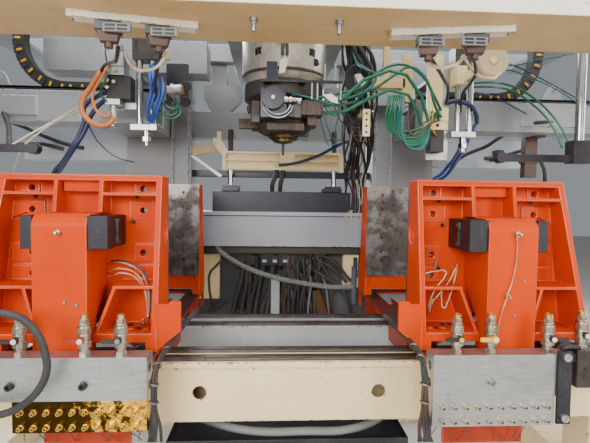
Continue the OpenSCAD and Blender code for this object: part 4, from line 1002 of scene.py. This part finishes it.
# Cables bound with tape that hang past the manifolds' inner ends
for side, way, tops in (
    ("left", -1, [(197, 311, -230), (190, 318, -320), (178, 333, -480), (166, 350, -630),
                  (157, 366, -700)]),
    ("right", 1, [(385, 317, -300), (393, 325, -380), (404, 336, -520), (414, 347, -640),
                  (421, 358, -705)]),
):
    bundle, tails = [], []
    for k in range(9):
        dx, dy = draw.uniform(-2.6, 2.6), draw.uniform(-1.6, 1.6)
        route = [(x + dx * 0.7, y + dy, d + draw.uniform(-8, 8)) for x, y, d in tops]
        foot = 154 if way < 0 else 424.5
        route += [(foot + dx * 0.8 + draw.uniform(-0.8, 0.8), y, -716 + draw.uniform(-6, 6))
                  for y in (378, 392, 408)]
        route += [(foot + dx * 1.6 + draw.uniform(-3, 3), 426, -700),
                  (foot + dx * 2.4 + draw.uniform(-4, 4), 441, -660)]
        (tails if k % 3 == 0 else bundle).append(route)
    lines(f"{side}_taped_cables", "rubber", 5.2, f"{side}_carriage", -700, *bundle)
    lines(f"{side}_brown_cables", "brown", 4.2, f"{side}_carriage", -700, *tails)
    ties = []
    for x, y, d in (tops[3], tops[4], (foot, 384, -716), (foot, 402, -716)):
        tie = turned(f"{side}_cable_ties", [(15, -3), (16, -2.6), (16, 2.6), (15, 3)], sides=20)
        axis = (0.25, 0.1, 1) if y > 370 else (way * -0.5, -0.9, -0.6)
        ties.append(repeated(f"{side}_cable_ties", tie, [(seen(x, y, d), axis)]))
    done(joined(f"{side}_cable_ties", ties), f"{side}_carriage", "tape")

# Thin wires that hang under the nipple strips
for side, left, right in (("left", 16, 150), ("right", 436, 530)):
    wires = []
    for k in range(12):
        x = left + (right - left) * (k + draw.uniform(0.1, 0.9)) / 12
        sway = draw.uniform(-22, 22)
        wires.append([(x, 424, -700), (x + sway * 0.3, 431, -688), (x + sway * 0.8, 437, -660),
                      (x + sway, 441, -598)])
    lines(f"{side}_thin_wires", "brown", 1.5, f"{side}_carriage", -680, *wires, sides=1)

# Dark bolts inside the through holes of the mould plates, and a pipe in the drip tray
for side, way in SIDES.items():
    for half, turn in (("front", -1), ("rear", 1)):
        plugs = [
            turned(f"{side}_{half}_mould_bolts", [(0, 0), (radius, 0), (radius, 5),
                                                  (radius * 0.5, 5), (radius * 0.5, 3), (0, 3)],
                   (way * (STATION_X + x), turn * 396, PLATEN_FOOT + z), (0, -turn, 0), 20)
            for x, z, radius in ((-198, 508, 11.8), (198, 508, 11.8), (-198, 172, 10.8),
                                 (198, 172, 10.8))
        ]
        done(joined(f"{side}_{half}_mould_bolts", plugs), f"{side}_{half}_clamp", "dark_steel")
lines("pit_pipe", "grey_cable", 16, FRAME, -420,
      [(-440, -300, TRAY, 1), (-330, -400, TRAY, 1), (-150, -490, TRAY, 1), (60, -500, TRAY, 1),
       (240, -490, TRAY, 1), (380, -400, TRAY, 1), (440, -300, TRAY, 1)])
loop = hoses("left_hose_loop_smooth", [[
    (-1020, -727, 951), (-1020, -747, 951), (-1028, -773, 963), (-1040, -790.5, 1015),
    (-1016, -790.5, 1081), (-960, -790.5, 1129), (-895, -790.5, 1148), (-857, -790.5, 1141),
    (-822, -790.5, 1124), (-784, -790.5, 1080), (-763, -790.5, 1020), (-759, -790.5, 971),
    (-778, -790.5, 919), (-822, -790.5, 870), (-890, -790.5, 835), (-960, -780.5, 827),
    (-1024, -771, 837), (-1020, -747, 867), (-1020, -727, 867),
]], 11.5, "rubber", "left_carriage")
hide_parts("left_hose_loop")

# Middle: the central beam, what hangs under it and what stands on it

slabs("central_beam_lip", "grey", ((-592, 794, 1398), (592, 801, 1420), 1.5))
# A dark strip in the gap under the lip, painted as its shadow.
slabs("central_beam_shadow_gap", "dark_steel", ((-592, 797, 1392), (592, 801, 1398), 0.4))
button("central_beam_screws", "bolt", FRAME, 7, 800, 5, (243.6, 218.2), (209, 213), (352, 214))
slabs("dark_beam_face", "navy", ((-460, 795, 1424), (460, 801, 1557), 1.5))
slabs("dark_beam_cap_left", "navy", ((-395, 770, 1556), (-290, 822, 1578), 2))
slabs("dark_beam_cap_right", "navy", ((260, 770, 1558), (395, 822, 1582), 2))
slabs("stretcher_middle_plate", "cream", ((-18, 786, 1700), (82, 792, 1820), 1))
slabs("stretcher_left_end", "cream", ((-396, 776, 1694), (-372, 800, 1828), 1.5))
slabs("stretcher_right_end", "cream", ((376, 776, 1688), (402, 800, 1810), 1.5))
slabs("left_slant_foot", "cream", ((-430, 770, 1822), (-404, 800, 1942), 1.5))
cutout("left_slant_strip", "aluminium", 770, 26, 1, (190.5, 156), (193, 155), (222, 175),
       (220, 177.5))
cutout("left_cable_plate", "tan", 790, 60, 1, (191, 145.5), (222, 144.5), (222, 150), (191, 156))
cutout("left_bracket", "cream", 764, 24, 1, (213.5, 137), (221, 140), (228, 151), (224.5, 158),
       (216, 148), (213, 142))
lines("blue_lead", "blue_dark", 10, FRAME, 770,
      [(279, 165, 782), (290, 164, 764), (305, 160.5, 740), (320, 155, 720), (333, 148, 700),
       (344, 143, 600), (358, 140, 450)])
lines("cables_to_dark_beam", "rubber", 15, FRAME, 800,
      [(277, 168, 820), (275.5, 176, 800), (272.5, 184, 790), (272, 191, 812)],
      [(283, 168, 820), (282.5, 176, 800), (280.5, 184, 790), (280, 191, 812)])

# Valves and hoses under the central beam
lines("corrugated_core", "grey_hose", 15.5, FRAME, 780,
      [(218, 246, 826), (218.6, 249, 820), (223, 253.5, 805), (237, 262.5, 780), (250, 269, 772),
       (262, 273.6, 768), (281, 279, 766), (300, 282.6, 766), (315, 285, 770), (330, 286.8, 776),
       (345, 287, 784), (355.6, 286.6, 788)])
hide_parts("hydraulic_hoses")
ring_route = traced([(218.3, 248, 824), (219.6, 250.6, 814), (223, 253.5, 805), (230, 258.4, 792),
                     (237, 262.5, 780), (243, 265.8, 776), (250, 269, 772), (262, 273.6, 768),
                     (281, 279, 766), (300, 282.6, 766), (315, 285, 770), (330, 286.8, 776),
                     (345, 287, 784), (354, 286.8, 787)], 780)
ring_spots = []
for first, second in zip(ring_route, ring_route[1:]):
    start, step = Vector(first), Vector(second) - Vector(first)
    count = max(1, round(step.length / 15))
    ring_spots += [(tuple(start + step * (k / count)), tuple(step)) for k in range(count)]
ring = turned("corrugations", [(15, -4.4), (17.6, -2.4), (18.2, 0), (17.6, 2.4), (15, 4.4)],
              sides=14)
done(repeated("corrugations", ring, ring_spots), FRAME, "grey_hose")

hang = [
    [(242.5, 273.5), (240, 284), (236, 297), (233, 312)],
    [(247, 272), (246, 286), (243, 300), (241, 314)],
    [(250.5, 274), (249.8, 287), (248.5, 300), (247.6, 314)],
    [(256, 272.5), (255, 285), (251.6, 298), (249.5, 314)],
    [(261, 275), (259, 288), (256.6, 300), (254.5, 314)],
    [(271, 276), (269, 289), (264, 302), (261, 314)],
    [(273, 274), (272, 288), (268.5, 301), (266.4, 314)],
]
lines("black_hoses", "rubber", 15, FRAME, 860,
      *[[(r[0][0] + 1, 256, 860)] + [(x, y, 850) for x, y in r] + [(r[-1][0] - 1, 324, PANEL)]
        for r in hang])
lines("thin_black_hoses", "rubber", 8, FRAME, 830,
      [(228, 256, 850), (222, 260, 820), (216, 266, 806), (210, 273, 800), (209, 284, 800),
       (211, 300, 800), (214, 318, PANEL)],
      [(230, 300, 830), (222, 306, 812), (214, 311, 806), (202, 313, 810)],
      [(232, 298, 830), (220, 302, 815), (210, 310, 806), (201, 316, 810)],
      [(262, 262, 840), (264, 270, 820), (258, 279, 812), (252, 286, 840)],
      [(290, 268, 820), (285, 276, 800), (283, 290, 800), (284, 320, PANEL)])
tangle = []
for k in range(26):
    x = 286 + 40 * draw.random()
    y = 258 + 14 * draw.random()
    lean = draw.uniform(-10, 12)
    d = draw.uniform(800, 870)
    tangle.append([(x, 254, 865), (x + draw.uniform(-5, 5), y, d),
                   (x + lean * 0.5, y + 16, d - 20 * draw.random()),
                   (x + lean, y + 36, d), (x + lean * 1.2, 324, PANEL)])
lines("hose_tangle", "rubber", 12, FRAME, 850, *tangle[:16])
lines("brown_tangle", "brown", 8, FRAME, 850, *tangle[16:22])
lines("grey_tangle", "grey_cable", 6, FRAME, 850, *tangle[22:])
lines("right_black_arcs", "rubber", 11, FRAME, 820,
      [(318, 256, 860), (328, 258, 820), (338, 266, 800), (347, 277, 792), (351, 281, 790)],
      [(322, 262, 850), (332, 268, 810), (341, 276, 800), (347, 283, 792)],
      [(310, 268, 840), (320, 274, 800), (331, 281, 790), (342, 289, 790), (348, 300, 800),
       (352, 318, PANEL)])
cutout("leaning_duct", "bronze", 800, 132, 3, (312, 291), (320, 290), (329, 318), (318, 318))
slabs("grey_pipe_post", "grey", ((-68, 830, 640), (-8, PANEL, 985), 6))
slabs("left_white_post", "cream", ((-610, 800, 700), (-590, 822, 1120), 2))
done(rod("left_pipe", 9, 330, (-590, 812, 760)), FRAME, "chrome")
slabs("black_box", "nylon", ((-300, 846, 640), (-200, PANEL, 760), 4))
slabs("dark_slotted_bar", "nylon", ((486, 786, 1000), (512, 800, 1122), 1.5))
slabs("slot_marks", "grey_plastic",
      *[((489, 784.5, 1006 + k * 22), (509, 786.5, 1018 + k * 22), 0.6) for k in range(5)])
slabs("right_cream_panel", "cream", ((430, 880, 900), (540, PANEL, 1130), 2))
slabs("left_pale_panel", "cream", ((-600, 884, 820), (-420, PANEL, 1128), 2))
valves = []
for x in (-290, -225, -140, -70, 0, 60, 120):
    valves.append(((x, 820, 1062), (x + 52, 851, 1124), 3))
    valves.append(((x + 8, 812, 1076), (x + 44, 822, 1108), 2))
slabs("valve_row", "nylon", *valves)
slabs("valve_labels", "aluminium",
      *[((x + 12, 810.6, 1082), (x + 40, 812.4, 1100), 0.5) for x in (-140, -70, 0)])
slabs("brown_fittings", "rusty", *[
    ((x, 816, z), (x + 38, PANEL, z + 46), 6)
    for x, z in ((96, 1010), (140, 960), (60, 1000), (180, 1020), (150, 1060))
])
lines("wire_loops", "cream_cable", 2.2, FRAME, 792,
      [(352, 209, 805), (347, 213), (344, 221), (345, 228), (349, 222), (351, 213),
       (349, 208, 800)],
      [(354, 209, 805), (349, 214), (346, 221), (347.5, 226.5), (351, 219), (352, 211, 800)],
      [(360, 209, 805), (358, 214), (356, 219), (359, 221), (361, 214)])

# Parison head

done(turned("head_rim", [(198.6, 0), (200.5, 1.5), (200.5, 12), (198.6, 14)], (HEAD_X, 0, 2072),
            sides=96), FRAME, "dark_steel")
slots = []
for a in (math.radians(-38), math.radians(38)):
    spot = (HEAD_X + math.sin(a) * 182, -math.cos(a) * 182, 2165)
    slots.append(prism("head_slot_bolts", 12, 12, 0, 12, spot, (math.sin(a), -math.cos(a), 0)))
done(joined("head_slot_bolts", slots), FRAME, "black_bolt")
done(plate("head_slot_frames",
           [seen(x, y, -150) for x, y in ((311, 57.6), (317.5, 59), (318.3, 64.4), (315, 66),
                                          (311.4, 63.4))],
           (6, 12, 0), 1), FRAME, "black_steel")
bolts = hexagon_screw("flange_bolts", 11, 26, False)
done(repeated("flange_bolts", bolts, [
    ((HEAD_X + 166 * math.cos(a), 166 * math.sin(a), 1945.5), (0, 0, -1))
    for a in [math.radians(k * 22.5 + 11) for k in range(16)]
]), FRAME, "black_bolt")
# Hanger rods in front of the drum, and the plain tag on them
done(joined("drum_hanger", [
    rod("drum_hanger", 6, 78, seen(282.3, 54.6, -206), sides=16),
    rod("drum_hanger", 6, 78, seen(287.3, 54.6, -206), sides=16),
    block("drum_hanger", (-70, -212, 2188), (-18, -196, 2200), 2),
    block("drum_hanger", (-76, -214, 2232), (-12, -194, 2242), 2),
]), FRAME, "dark_steel")
cutout("head_tag", "paper", -226, 1, 0, (280, 60), (285.5, 56.4), (288.4, 59), (284.8, 72.5),
       (279, 73.4))
cutout("hose_tag", "paper", -232, 1, 0, (323, 95), (331, 93.4), (337.6, 98), (338, 103.6),
       (331, 101.8))
cutout("right_tag", "paper", -60, 1, 0, (355, 74.5), (360.5, 73.4), (365.8, 82), (363.4, 88),
       (357.8, 83))
slabs("head_front_plates", "dark_steel", ((-168, -150, 1850), (-132, -96, 1945), 2),
      ((22, -196, 1866), (52, -120, 1944), 2))
slabs("head_side_blocks", "rusty", ((-176, -60, 1838), (-120, 60, 1946), 4),
      ((84, -150, 1840), (128, -40, 1946), 4), ((-100, -148, 1816), (70, -96, 1850), 5),
      ((-232, -60, 1836), (-168, -20, 1880), 2))
arcs = [
    [(HEAD_X - 31 + r * math.cos(math.radians(a)), y, z + r * math.sin(math.radians(a)))
     for a in range(200, 345, 18)]
    for r, y, z in ((58, -214, 1932), (68, -210, 1928))
]
hoses("actuator_straps", arcs, 3.4, "aluminium", FRAME)
done(turned("actuator_boss", [(0, 0), (9, 0), (9, 3), (7, 4.4), (0, 4.4)], (-73, -234, 1942),
            FORWARD, 24), FRAME, "aluminium")
done(turned("actuator_rim", [(45, 0), (48.4, 0.6), (48.8, 3), (48.4, 26), (45, 27)],
            (-73, -203, 1942), FORWARD, 48), FRAME, "navy")
done(joined("brass_unions", [
    prism("brass_unions", 6, 13, 0, 14, (-24, -222, 1936), (1, 0, 0)),
    prism("brass_unions", 6, 13, 0, 14, (-4, -222, 1936), (1, 0, 0)),
    prism("brass_unions", 12, 9, 0, 70, (-20, -222, 1936), (1, 0, 0)),
    prism("brass_unions", 6, 12, 0, 12, (34, -222, 1930), (1, 0, 0)),
]), FRAME, "nickel")
done(joined("head_stand_offs", [
    rod("head_stand_offs", 4, 70, (x, -216, z), sides=12)
    for x, z in ((96, 1942), (120, 1942), (196, 2024), (222, 1942), (150, 2024))
]), FRAME, "aluminium")
done(joined("die_bolts", [
    prism("die_bolts", 6, 7, -7, 1, (HEAD_X + 57 * math.cos(a), 57 * math.sin(a), 1797))
    for a in [k * math.pi / 4 + 0.2 for k in range(8)]
]), FRAME, "black_bolt")
done(joined("die_levers", [
    block("die_levers", (10, -70, 1806), (64, -58, 1816), 2),
    block("die_levers", (52, -70, 1800), (96, -58, 1811), 2),
    rod("die_levers", 9, 26, (88, -78, 1806), (0, 1, 0)),
]), FRAME, "black_steel")

# Upper left: what hangs round the left blow pin unit

lines("left_clear_hose", "clear", 5.5, FRAME, -600,
      [(124, 46, PLUGS), (125.5, 54), (129, 63), (136, 69), (145, 70.6), (155, 68), (162, 61),
       (166, 51), (167.4, 45, PLUGS)])
lines("left_connector_cables", "rubber", 7, FRAME, -560,
      [(118, 47, PLUGS), (117, 56, -560), (112, 62, -300), (104, 66, -120), (100, 73, -45)],
      [(163, 45, PLUGS), (160, 58, -500), (157, 72, -250), (155, 88, -90), (156, 104, -44)])
lines("left_blue_hoses", "blue_hose", 8, FRAME, -70,
      [(152, 62, 20), (149.5, 78), (151, 92), (147.5, 106), (149, 121, -40)],
      [(158, 64, 20), (156, 80), (159, 93), (155, 107), (151, 122, -34)],
      [(155, 60, 24), (152.6, 76, -62), (155.5, 90, -66), (152, 104), (156, 116, -30)],
      [(161, 78, 20), (163, 92, -60), (158, 108, -66), (152, 123, -34)])
lines("left_green_arcs", "green_hose", 4.5, FRAME, -40,
      [(158, 99, 30), (161, 110), (168, 118), (177, 117), (180, 106, 30)],
      [(157, 104, 20), (164, 113), (173, 115), (178, 103, 30)],
      [(160, 96, 20), (166, 106), (174, 109), (176, 98, 30)],
      [(105, 34, -560), (104, 44, -400), (105, 52, -200), (106.5, 62, -44)],
      [(107.5, 72, -40), (104, 84, -60), (100, 92, -50), (106, 102, -36)])
lines("left_orange_hose", "orange_hose", 12, FRAME, -70,
      [(104, 68, -44), (98, 76), (91, 87), (83, 99), (81.5, 108), (87, 118.6), (96, 124.5),
       (107, 125), (114, 118, -30)])
lines("left_orange_hose_thin", "orange_hose", 6, FRAME, -90,
      [(109, 62, -46), (100, 80), (93, 94), (95, 108), (104, 117), (111, 112, -38)])
lines("left_cream_cable", "cream_cable", 4.5, FRAME, 120,
      [(110, 98, -20), (88, 106, 20), (69, 116, 60), (52, 124), (40, 132), (29, 141), (22, 148),
       (17, 160), (14, 172, 190), (-1420, 300, 1200, 1), (-1400, 480, RAIL_BEAM_TOP, 1)],
      [(84, 104, 0), (60, 118, 60), (34, 132, 0), (10, 146, -80)])
lines("left_blue_feed", "blue_dark", 11, FRAME, 0,
      [(111, 90, -20), (96, 97), (84, 107), (84.6, 119), (80, 133), (72, 147), (62, 163, 90),
       (54, 173, 180), (50, 186, 205), (-1340, 320, 1200, 1), (-1330, 480, RAIL_BEAM_TOP, 1)],
      [(113, 97, -20), (100, 104), (91, 116), (84, 132), (74, 148), (63, 166, 90), (56, 180, 205),
       (-1300, 320, 1200, 1), (-1290, 480, RAIL_BEAM_TOP, 1)])
lines("left_blue_lead", "blue_hose", 3.2, FRAME, 40,
      [(86.6, 120, 0), (93, 134, 60), (101, 145, 200), (113, 155, 420), (124, 160, 640),
       (134, 162, 752)],
      [(88, 118, 0), (96, 126), (106, 128), (113, 119, -20)])
lines("left_dark_hose", "rubber", 12, FRAME, 250,
      [(-6, 113, 196), (10, 121, 300), (29, 129, 460), (44, 136, 640), (57, 141, 750),
       (70, 145, 756), (84, 148, 756)],
      [(4, 147, -95), (12, 144, -20), (24, 143, 240), (38, 144, 540), (50, 145.6, 745),
       (64, 149, 756)],
      [(4, 113, 196), (8, 124, 120), (9.4, 136, 0), (9, 148, -80)])
slabs("left_flat_plate", "tan", ((-672, 40, 2172), (-572, 62, 2208), 2))
done(joined("left_sensor", [
    turned("left_sensor", [(0, 0), (24, 0), (24, 40), (18, 44), (0, 44)], seen(173, 90, 0),
           (1, 0, 0.1), 32),
    turned("left_sensor", [(0, -6), (30, -6), (30, 4), (0, 4)], seen(173, 90, 0), (1, 0, 0.1), 32),
    block("left_sensor", tuple(a + b for a, b in zip(seen(173, 90, 0), (-30, -16, -16))),
          tuple(a + b for a, b in zip(seen(173, 90, 0), (0, 206, 16))), 2),
]), FRAME, "aluminium")
done(turned("left_sensor_ring", [(15, 44), (20, 44), (20, 48), (15, 48)], seen(173, 90, 0),
            (1, 0, 0.1), 32), FRAME, "orange_hose")
done(joined("left_fan_box_fans", [
    turned("left_fan_box_fans", [(0, -1), (26, -1), (26, 3), (22, 5), (0, 3)], seen(x, y, 176),
           FORWARD, 32)
    for x, y in ((186, 86), (186, 102))
] + [block("left_fan_box_fans", (-620, 178, 2010), (-510, 205, 2195), 4)]), FRAME, "black_steel")
# Air cylinder and its bracket under the left valve block
done(joined("left_air_cylinder", [
    rod("left_air_cylinder", 15, 94, (-824, 0, 1846), sides=32),
    block("left_air_cylinder", (-856, -26, 1936), (-786, 26, 1966), 3),
    block("left_air_cylinder", (-842, -20, 1836), (-806, 20, 1850), 2),
]), FRAME, "aluminium")
done(joined("left_air_fittings", [
    prism("left_air_fittings", 6, 9, 0, 24, (x, -30, z), FORWARD)
    for x, z in ((-834, 2042), (-806, 2036), (-836, 2010), (-800, 2088), (-832, 2120),
                 (-800, 2140))
]), FRAME, "nickel")

# Upper right: reel, cables and hoses round the right blow pin unit

reel = turned("hose_reel", [(18, 6), (20, 0), (60, 0), (68, 6), (68, 10), (50, 16), (50, 44),
                            (68, 50), (68, 56), (18, 60)],
              (846, -330, 2099), (0, 1, 0), 56)
done(reel, FRAME, "beige")
done(joined("hose_reel_hub", [
    turned("hose_reel_hub", [(0, -4), (16, -4), (18, 0), (18, 66), (0, 66)], (846, -330, 2099),
           (0, 1, 0), 32),
    block("hose_reel_hub", (838, -276, 2080), (854, -40, 2120), 2),
    block("hose_reel_hub", (806, -60, 2070), (856, 30, 2156), 2),
]), FRAME, "cream")
lines("reel_hose", "beige", 6, FRAME, -420,
      [(466, 55, -606), (468, 64), (474, 72), (482, 77), (490, 78), (497, 76, -340),
       (503, 69, -310)])
lines("right_brown_arc", "beige", 6.5, FRAME, -560,
      [(425, 55, PLUGS), (429, 63), (438, 67.4), (449, 66.6), (458, 63), (463, 56, -606)])
lines("right_connector_cables", "rubber", 7, FRAME, -560,
      [(430, 56, PLUGS), (436, 66, -500), (444, 80, -300), (448, 92, -100), (446, 104, -44)],
      [(472, 55, PLUGS), (476, 70, -460), (470, 84, -220), (462, 96, -60), (460, 112, 10)])
lines("right_gold_springs", "brass", 3, FRAME, -60,
      [(434, 106, -20), (430, 114), (429.5, 122), (432, 130), (436, 136, -20)],
      [(437, 106, -30), (433, 114), (432, 124), (434, 132), (438, 137, -20)])
lines("right_dark_blue_hose", "blue_dark", 11, FRAME, -20,
      [(447, 103, 0), (456, 101), (465, 103), (472, 107), (475.6, 113), (477, 123, 30)])
lines("right_blue_hose", "blue_hose", 11, FRAME, 60,
      [(470, 126, 30), (464, 138, 160), (460, 148, 400), (455, 157, 620), (449, 165, 745),
       (439, 176, 790), (800, 860, 1560, 1), (768, 880, 1500, 1)],
      [(474, 126, 30), (468, 140, 160), (464, 150, 400), (458, 159, 620), (453, 167, 745),
       (443, 178, 800), (810, 890, 1540, 1), (768, 900, 1470, 1)])
lines("right_green_pair", "green_hose", 5.5, FRAME, 120,
      [(474, 83, 20), (490, 82.4, 60), (504.7, 84), (517, 88), (529, 94.7), (540, 103), (550, 113),
       (560, 126, 60), (570, 144, -60)],
      [(474, 87, 20), (492, 87, 60), (506, 89), (520, 95), (532, 104), (543, 114), (553, 127, 60),
       (562, 147, -60)])
lines("right_teal_lead", "teal_hose", 3.4, FRAME, 160,
      [(486, 60, 20), (505, 66), (522, 64), (538, 60, 60), (556, 57, -20), (577.5, 52, -90)],
      [(474, 70, 20), (492, 73), (508, 70), (526, 76), (550, 86), (580, 104, APRON)])
lines("right_thin_dark_leads", "blue_dark", 3.4, FRAME, 180,
      [(480, 56, 10), (500, 61), (520, 68), (540, 78), (562, 90), (590, 106, APRON)],
      [(476, 92, 10), (494, 97), (512, 106), (526, 114, 190), (534, 120, APRON)])
lines("right_dark_hoses", "rubber", 12, FRAME, 240,
      [(452, 165, 757), (462, 157, 740), (472, 152, 700), (485, 147, 620), (496, 140, 520),
       (506, 134, 400), (516, 129, 300), (530, 124, 205), (552, 122, 198)],
      [(484, 158, 757), (492, 158, 740), (510, 154, 700), (523, 151, 640), (533, 154, 560),
       (541, 162, 500), (545, 174, 480), (1560, 500, 1200, 1), (1560, 520, RAIL_BEAM_TOP, 1)])
done(joined("right_black_cluster", [
    block("right_black_cluster", tuple(a + b for a, b in zip(seen(x, y, 720), (-w, -20, -h))),
          tuple(a + b for a, b in zip(seen(x, y, 720), (w, 60, h))), 4)
    for x, y, w, h in ((499, 153, 26, 18), (507, 158, 18, 16), (495, 160, 14, 10))
]), FRAME, "rubber")
slabs("right_valve_block", "cream", ((670, -46, 1893), (742, 20, 1950), 3),
      ((676, -46, 1852), (742, 20, 1890), 3))
# Dark discs on the bores, painted as the shade inside them.
done(joined("right_valve_block_bore_shade", [
    turned("right_valve_block_bore_shade", [(0, -2), (9, -2), (9, 1.5), (0, 1.5)], (x, -46, z), FORWARD,
           20)
    for x, z in ((688, 1935), (722, 1935), (688, 1908), (722, 1908), (690, 1872), (722, 1872))
]), FRAME, "nylon")

# Connectors: dark faces with slots
for side, plugs in (
    ("left", ((116.5, 27, -700), (164, 31.5, -671))),
    ("right", ((432, 41.5, -671), (475, 41, -700))),
):
    faces, slots = [], []
    for plug in plugs:
        x, y, z = seen(*plug)
        faces.append(block(f"{side}_connector_faces", (x - 44, y - 3, z - 14),
                           (x + 44, y + 12, z + 14), 3))
        # The slots are dark blocks just proud of the face, painted as the shade inside them.
        for k in range(2):
            for row in range(2):
                slots.append(block(f"{side}_connector_slot_shade",
                                   (x - 36 + 38 * k, y - 5, z - 10 + 12 * row),
                                   (x - 4 + 38 * k, y - 2.4, z - 3 + 12 * row), 1))
    done(joined(f"{side}_connector_faces", faces), FRAME, "grey_cable")
    done(joined(f"{side}_connector_slot_shade", slots), FRAME, "nylon")

# Yellow clips on the cable chains
clip = turned("chain_clips", [(0, -13), (6, -13), (6, 13), (0, 13)], sides=10)
spots = []
for way in SIDES.values():
    for k in range(13):
        a = math.radians(-84 + 14 * k)
        out = (way * math.cos(a), 0, math.sin(a))
        spots.append(((way * 1147 + 246 * out[0], 250, 2323 + 246 * out[2]), out))
    spots += [((way * (1130 - 60 * k), 250, 2077), UP) for k in range(4)]
done(repeated("chain_clips", clip, spots), FRAME, "yellow")

# Green hoses and cables right of the head

lines("head_green_hoses", "green_hose", 6.5, FRAME, -140,
      [(306, 101, -170), (322, 103), (339, 100), (352, 97), (367, 91), (377, 87), (386, 81),
       (397, 73.5), (410, 67), (421.5, 73.5), (430, 87), (434, 102.5), (441, 117, -44)],
      [(318, 98, -150), (341, 93), (361, 88), (372, 77), (380, 71), (390, 66), (402.5, 64.5),
       (412.6, 68), (425, 79), (431.6, 91), (441, 110, -44)])
lines("head_teal_hose", "teal_hose", 6, FRAME, -190,
      [(292, 94, -214), (301, 95.6), (311, 98), (320, 101), (331, 104.6), (345, 104, -100),
       (358, 101, 40), (366, 100, 196)],
      [(350, 32, 120), (354, 56, 20), (367, 70), (373.5, 73.5), (375.8, 79), (372.4, 84.6),
       (364.6, 92.5), (356, 98, 60), (350, 102, 196)])
loops = []
for k in range(9):
    x0 = 389 + 1.9 * k
    low = 131 + 2.1 * k
    loops.append([(x0, 96, 10), (x0 - 2 + draw.uniform(-2, 2), 110, -30 - 8 * k),
                  (x0 - 3, 122, -40 - 8 * k),
                  (x0 + 2 + k * 0.4, low, -60 - 8 * k),
                  (x0 + 12, low + 2.5 + draw.uniform(-1.5, 1.5), -60 - 8 * k),
                  (420 + 0.6 * k, low - 2, -50 - 6 * k), (428 + 0.5 * k, 126 - k, -50),
                  (440, 112 - 0.5 * k, -40)])
lines("green_hose_bundle", "green_hose", 5.5, FRAME, -60, *loops[:6])
lines("teal_hose_bundle", "teal_hose", 5.5, FRAME, -60, *loops[6:])
lines("brown_hose_loop", "brown", 5, FRAME, -90,
      [(417, 100, 0), (415, 111), (409, 121), (408, 128), (412.6, 135), (421, 131),
       (429, 124, -70), (440, 120, -44)])
slabs("black_mounting_plate", "nylon", ((598, 20, 1806), (634, 32, 2008), 2),
      ((606, 32, 1960), (626, APRON, 1980), 1))
slabs("cream_connector_ledge", "tan", ((416, 0, 2056), (574, 60, 2106), 2))
slabs("cream_connector_post", "tan", ((560, 0, 1990), (610, 40, 2220), 2))
slabs("ledge_hanger", "tan", ((470, 20, 2106), (500, 50, 2400), 2))
slabs("pale_hole_bracket", "cream", ((366, -6, 1818), (402, 6, 1950), 2))
# Dark discs on the bracket's holes, painted as the shade inside them.
done(joined("pale_hole_bracket_hole_shade", [
    turned("pale_hole_bracket_hole_shade", [(0, -2), (6, -2), (6, 1.2), (0, 1.2)],
           (384, -6, 1838 + k * 30), FORWARD, 20) for k in range(4)
]), FRAME, "nylon")
slabs("pale_hole_bracket_arm", "cream", ((366, 6, 1930), (402, 200, 1948), 2))
# Heights in the picture, each with its depth and how far left and right the cables reach
CABLE_MASS = (
    (60, 90, 341, 377), (80, 90, 341, 377), (100, 100, 341, 377), (120, 190, 341, 376),
    (138, 400, 342, 374), (156, 620, 344, 370), (172, 730, 345, 366), (190, 790, 346, 364),
)
bundle, greys, browns, pales = [], [], [], []
for k in range(34):
    x = draw.uniform(346, 372)
    route = [(x + draw.uniform(-6, 2), 22, draw.uniform(0, 160))]
    for y, depth, low, high in CABLE_MASS:
        x = min(high, max(low, x + draw.uniform(-5.5, 5.5)))
        route.append((x, y + draw.uniform(-4, 4), depth + draw.uniform(-50, 50) * (depth < 700)))
    route.append((x + draw.uniform(-3, 3), 213, 806))
    (bundle, bundle, greys, bundle, browns, bundle, bundle, pales)[k % 8].append(route)
lines("head_cable_mass", "rubber", 5.5, FRAME, 100, *bundle)
lines("head_grey_cables", "grey_cable", 4.2, FRAME, 100, *greys)
lines("head_brown_cables", "brown", 4.5, FRAME, 100, *browns)
lines("head_pale_cables", "cream_cable", 3.2, FRAME, 100, *pales)
lines("thick_black_cables", "rubber", 9.5, FRAME, 40,
      [(346, 24, 120), (352, 46), (357, 56), (362, 64), (368, 76, 100), (366, 92, 196)],
      [(352, 24, 120), (359, 47), (365, 57), (370, 66), (372, 80, 100), (370, 96, 196)],
      [(358, 24, 120), (366, 46), (372, 56), (375, 70, 100), (374, 92, 196)])
turns = []
for k in range(4):
    r = 11.5 - 1.4 * k
    turns.append([
        (357.5 + r * math.cos(a) + 0.6 * k, 79 + 1.25 * r * math.sin(a),
         30 + 6 * k + 4 * math.sin(a))
        for a in [math.radians(t) for t in range(-100, 261, 24)]
    ])
lines("cable_coil", "rubber", 6, FRAME, 40, *turns)
thin = []
for k in range(16):
    x, y, drop = draw.uniform(318, 350), draw.uniform(94, 112), draw.uniform(12, 42)
    thin.append([(x, y, 198), (x + 4, y + drop * 0.6, 130),
                 (x + draw.uniform(8, 16), y + drop, 120),
                 (x + draw.uniform(16, 24), y + drop * 0.5, 140),
                 (min(378, x + draw.uniform(22, 38)), draw.uniform(94, 114), 198)])
lines("stray_leads", "rubber", 2.6, FRAME, 60, *thin[:9])
lines("stray_brown_leads", "brown", 2.6, FRAME, 60, *thin[9:13])
lines("stray_green_leads", "teal_hose", 2.8, FRAME, 60, *thin[13:])

# Outer beams below the upper ones, and the duct that comes down between them on the right
for side, x0, x1, z0, z1 in (("left", -1640, -768, 1740, 1955), ("right", 768, 1640, 1735, 1920)):
    slabs(f"{side}_outer_beam", "grey",
          ((x0, 760, z0), (x1, 800, z1), 3),
          ((x0, 790, z1 - 14), (x1, 900, z1), 2),
          ((x0, 790, z0), (x1, 900, z0 + 14), 2))
slabs("right_duct", "brown", ((1420, 392, 1654), (1495, 440, 1897), 3),
      ((1412, 380, 1740), (1503, 448, 1752), 1.5), ((1430, 300, 1880), (1485, 420, 1912), 2))
